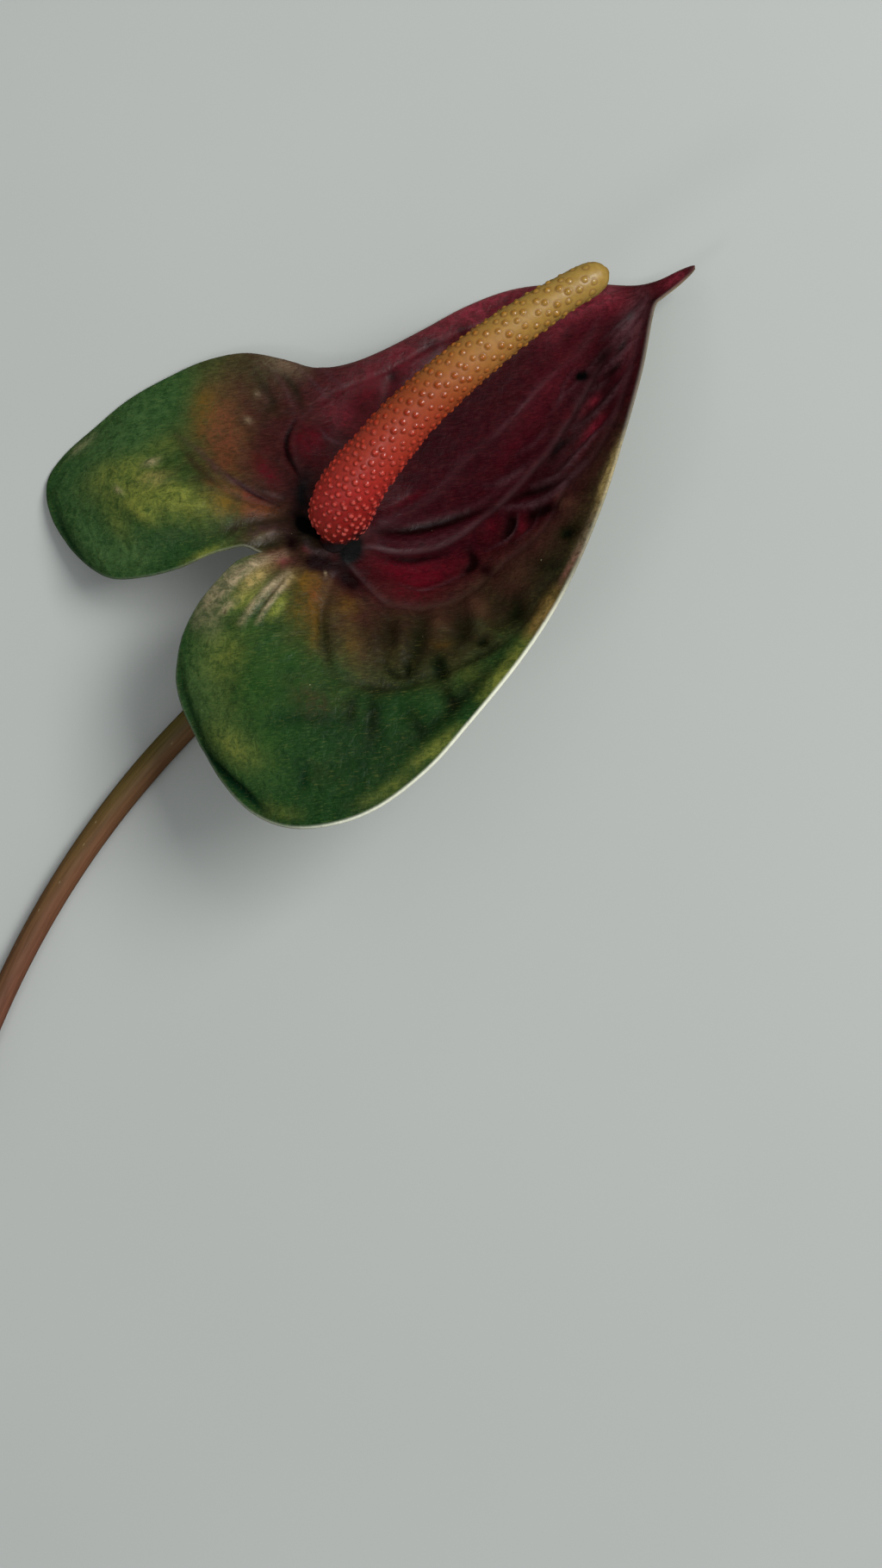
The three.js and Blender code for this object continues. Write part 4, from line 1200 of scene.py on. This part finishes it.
def make_peduncle():
    rows = peduncle_line()
    every = round(PEDUNCLE_SECTION_STEP / PEDUNCLE_LINE_STEP)
    rows = rows[np.append(np.arange(0, len(rows) - 1, every), len(rows) - 1)]
    centre, along, radius, travelled = rows[:, :3], rows[:, 3:6], rows[:, 6], rows[:, 7]
    centre[0] += JOINT_AXIS * TOP_REACH
    radius += (COLLAR_RADIUS - radius) * np.clip(1 - travelled / COLLAR_LENGTH, 0, 1) ** 2
    side, top = across_axes(along)
    turn = round_turn(PEDUNCLE_SIDES)
    ribs = sum(height * np.sin(count * turn + first) for count, first, height in RIBS)
    swelling, length, shift, slowness = SWELLING
    swell = 1 + swelling * np.sin(travelled / length + shift * np.sin(travelled / slowness))
    reach = radius[:, None] * (swell[:, None] + ribs - PEDUNCLE_INSET)
    cos, sin = np.cos(turn)[:, None], np.sin(turn)[:, None]
    rings = centre[:, None] + reach[..., None] * (side[:, None] * cos + top[:, None] * sin)
    high = (rings[-1] - centre[-1])[:, 2]
    rings[-1] -= along[-1] * (high * math.tan(CUT_SLANT))[:, None]
    inner = 1 - (np.arange(1, CUT_RINGS + 1) / (CUT_RINGS + 1)) ** CUT_CROWDING
    cap = centre[-1] + inner[:, None, None] * (rings[-1] - centre[-1])
    cap = cap - along[-1] * (CUT_HOLLOW * (1 - inner**2))[:, None, None]
    sections = np.vstack([rings, cap])
    count = len(sections)
    faces = tube_faces(count, PEDUNCLE_SIDES) + end_faces(count, PEDUNCLE_SIDES)
    skin_faces, cut_faces = (len(rings) - 1) * PEDUNCLE_SIDES, CUT_RINGS * PEDUNCLE_SIDES
    face_materials = [0] * skin_faces + [1] * cut_faces + [0, 1]
    travelled = np.concatenate([travelled, np.full(CUT_RINGS, travelled[-1])])
    values = {
        "travelled": np.repeat(travelled, PEDUNCLE_SIDES),
        "turn_x": np.tile(np.cos(turn), count),
        "turn_y": np.tile(np.sin(turn), count),
        "depth": np.repeat(np.concatenate([np.ones(len(rings)), inner]), PEDUNCLE_SIDES),
    }
    materials = [peduncle_material(), cut_material()]
    vertices = sections.reshape(-1, 3)
    piece = make_piece("peduncle_stem", vertices, faces, materials, values, face_materials)
    dress(piece, "peduncle")


def along_stem(nodes, stretch):
    """The place on the stem unrolled: round it in millimetres, and along it shrunk by stretch."""
    return nodes.add("CombineXYZ", 0, {
        "X": nodes.times(nodes.value("turn_x"), GRAIN_RADIUS),
        "Y": nodes.times(nodes.value("turn_y"), GRAIN_RADIUS),
        "Z": nodes.math("DIVIDE", nodes.value("travelled"), stretch),
    })


def peduncle_material():
    nodes = Nodes("peduncle_skin")
    share = nodes.math("DIVIDE", nodes.value("travelled"), STEM_COLOUR_LENGTH)
    base = nodes.ramp(nodes.plus(share, nodes.drift(14, 4, 0.6), 0.1), STEM_COLOURS)
    flank = nodes.span(nodes.value("turn_x"), -0.6, 0.8, 0, 0.5)
    streaks = nodes.noise(0.45, 3, 0.6, 0.0, along_stem(nodes, 18))
    tone = nodes.span(streaks, 0.3, 0.7, 0.82, 1.15)
    colour = nodes.shade(nodes.cover(flank, base, FLANK_COLOUR), tone)
    dots = nodes.span(nodes.cells(1.5, place=along_stem(nodes, 2.2)), 0.05, 0.11, 0.45, 0)
    colour = nodes.cover(dots, colour, LENTICEL_COLOUR)
    rough = nodes.span(streaks, 0.3, 0.7, 0.38, 0.52)
    nodes.set(Base_Color=colour, Roughness=rough, Normal=nodes.bump(streaks, 0.06, 0.7),
              Coat_Weight=0.08, Coat_Roughness=0.3, Specular_IOR_Level=0.25)
    return nodes.material


def cut_material():
    nodes = Nodes("peduncle_cut")
    depth = nodes.value("depth")
    bundles = nodes.span(nodes.cells(0.62, randomness=0.8), 0.16, 0.3, 1, 0)
    bundles = nodes.times(bundles, nodes.span(depth, 0.1, 0.4))
    colour = nodes.cover(nodes.times(bundles, 0.6), nodes.ramp(depth, PITH_COLOURS), BUNDLE_COLOUR)
    colour = nodes.shade(colour, nodes.span(nodes.noise(0.5, 4, 0.65), 0.25, 0.75, 0.85, 1.1))
    nodes.set(Base_Color=colour, Roughness=0.42, Normal=nodes.bump(bundles, 0.08, 0.8),
              Coat_Weight=0.3, Coat_Roughness=0.15)
    return nodes.material


# -------- floor, light, camera


def make_floor():
    mesh = bpy.data.meshes.new("floor")
    corners = [(-1, -1), (1, -1), (1, 1), (-1, 1)]
    mesh.from_pydata([(x * FLOOR_HALF, y * FLOOR_HALF, 0) for x, y in corners], [], [range(4)])
    nodes = Nodes("floor_paper")
    cloud = nodes.span(nodes.noise(120, 3, 0.5), 0.3, 0.7, 0.985, 1.015)
    colour = nodes.shade(srgb(*FLOOR_COLOUR), cloud)
    nodes.set(Base_Color=colour, Roughness=0.95, Specular_IOR_Level=0.1)
    mesh.materials.append(nodes.material)
    floor = add_object("floor", mesh)
    floor.visible_glossy = False


def light_scene():
    scene = bpy.context.scene
    scene.view_settings.view_transform = "Standard"
    world = bpy.data.worlds.new("studio")
    world.use_nodes = True
    background = world.node_tree.nodes["Background"]
    background.inputs["Color"].default_value = WORLD_COLOUR
    background.inputs["Strength"].default_value = WORLD_STRENGTH
    world.cycles_visibility.glossy = False
    scene.world = world
    for name, (place, target, size, power, colour) in LIGHTS.items():
        data = bpy.data.lights.new(name, "AREA")
        data.shape = "SQUARE"
        data.size = size
        data.energy = power
        data.color = colour
        light = add_object(name, data)
        light.location = place
        aim = Vector(target) - Vector(place)
        light.rotation_euler = aim.to_track_quat("-Z", "Y").to_euler()
        light.visible_camera = False


def add_camera():
    data = bpy.data.cameras.new("camera")
    data.lens = CAMERA_LENS
    data.sensor_width = CAMERA_SENSOR
    data.clip_start = CAMERA_CLIP
    camera = add_object("camera", data)
    camera.location = Vector(CAMERA) * METRES
    bpy.context.scene.camera = camera


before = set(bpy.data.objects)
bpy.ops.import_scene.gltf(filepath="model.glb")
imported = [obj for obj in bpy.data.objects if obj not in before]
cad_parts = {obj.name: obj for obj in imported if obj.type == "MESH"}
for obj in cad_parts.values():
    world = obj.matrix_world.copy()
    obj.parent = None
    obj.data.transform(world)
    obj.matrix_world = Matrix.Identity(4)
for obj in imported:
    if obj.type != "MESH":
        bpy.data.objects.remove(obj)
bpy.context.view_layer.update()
add_camera()
make_floor()
light_scene()
make_peduncle()
make_spathe()
make_spadix()
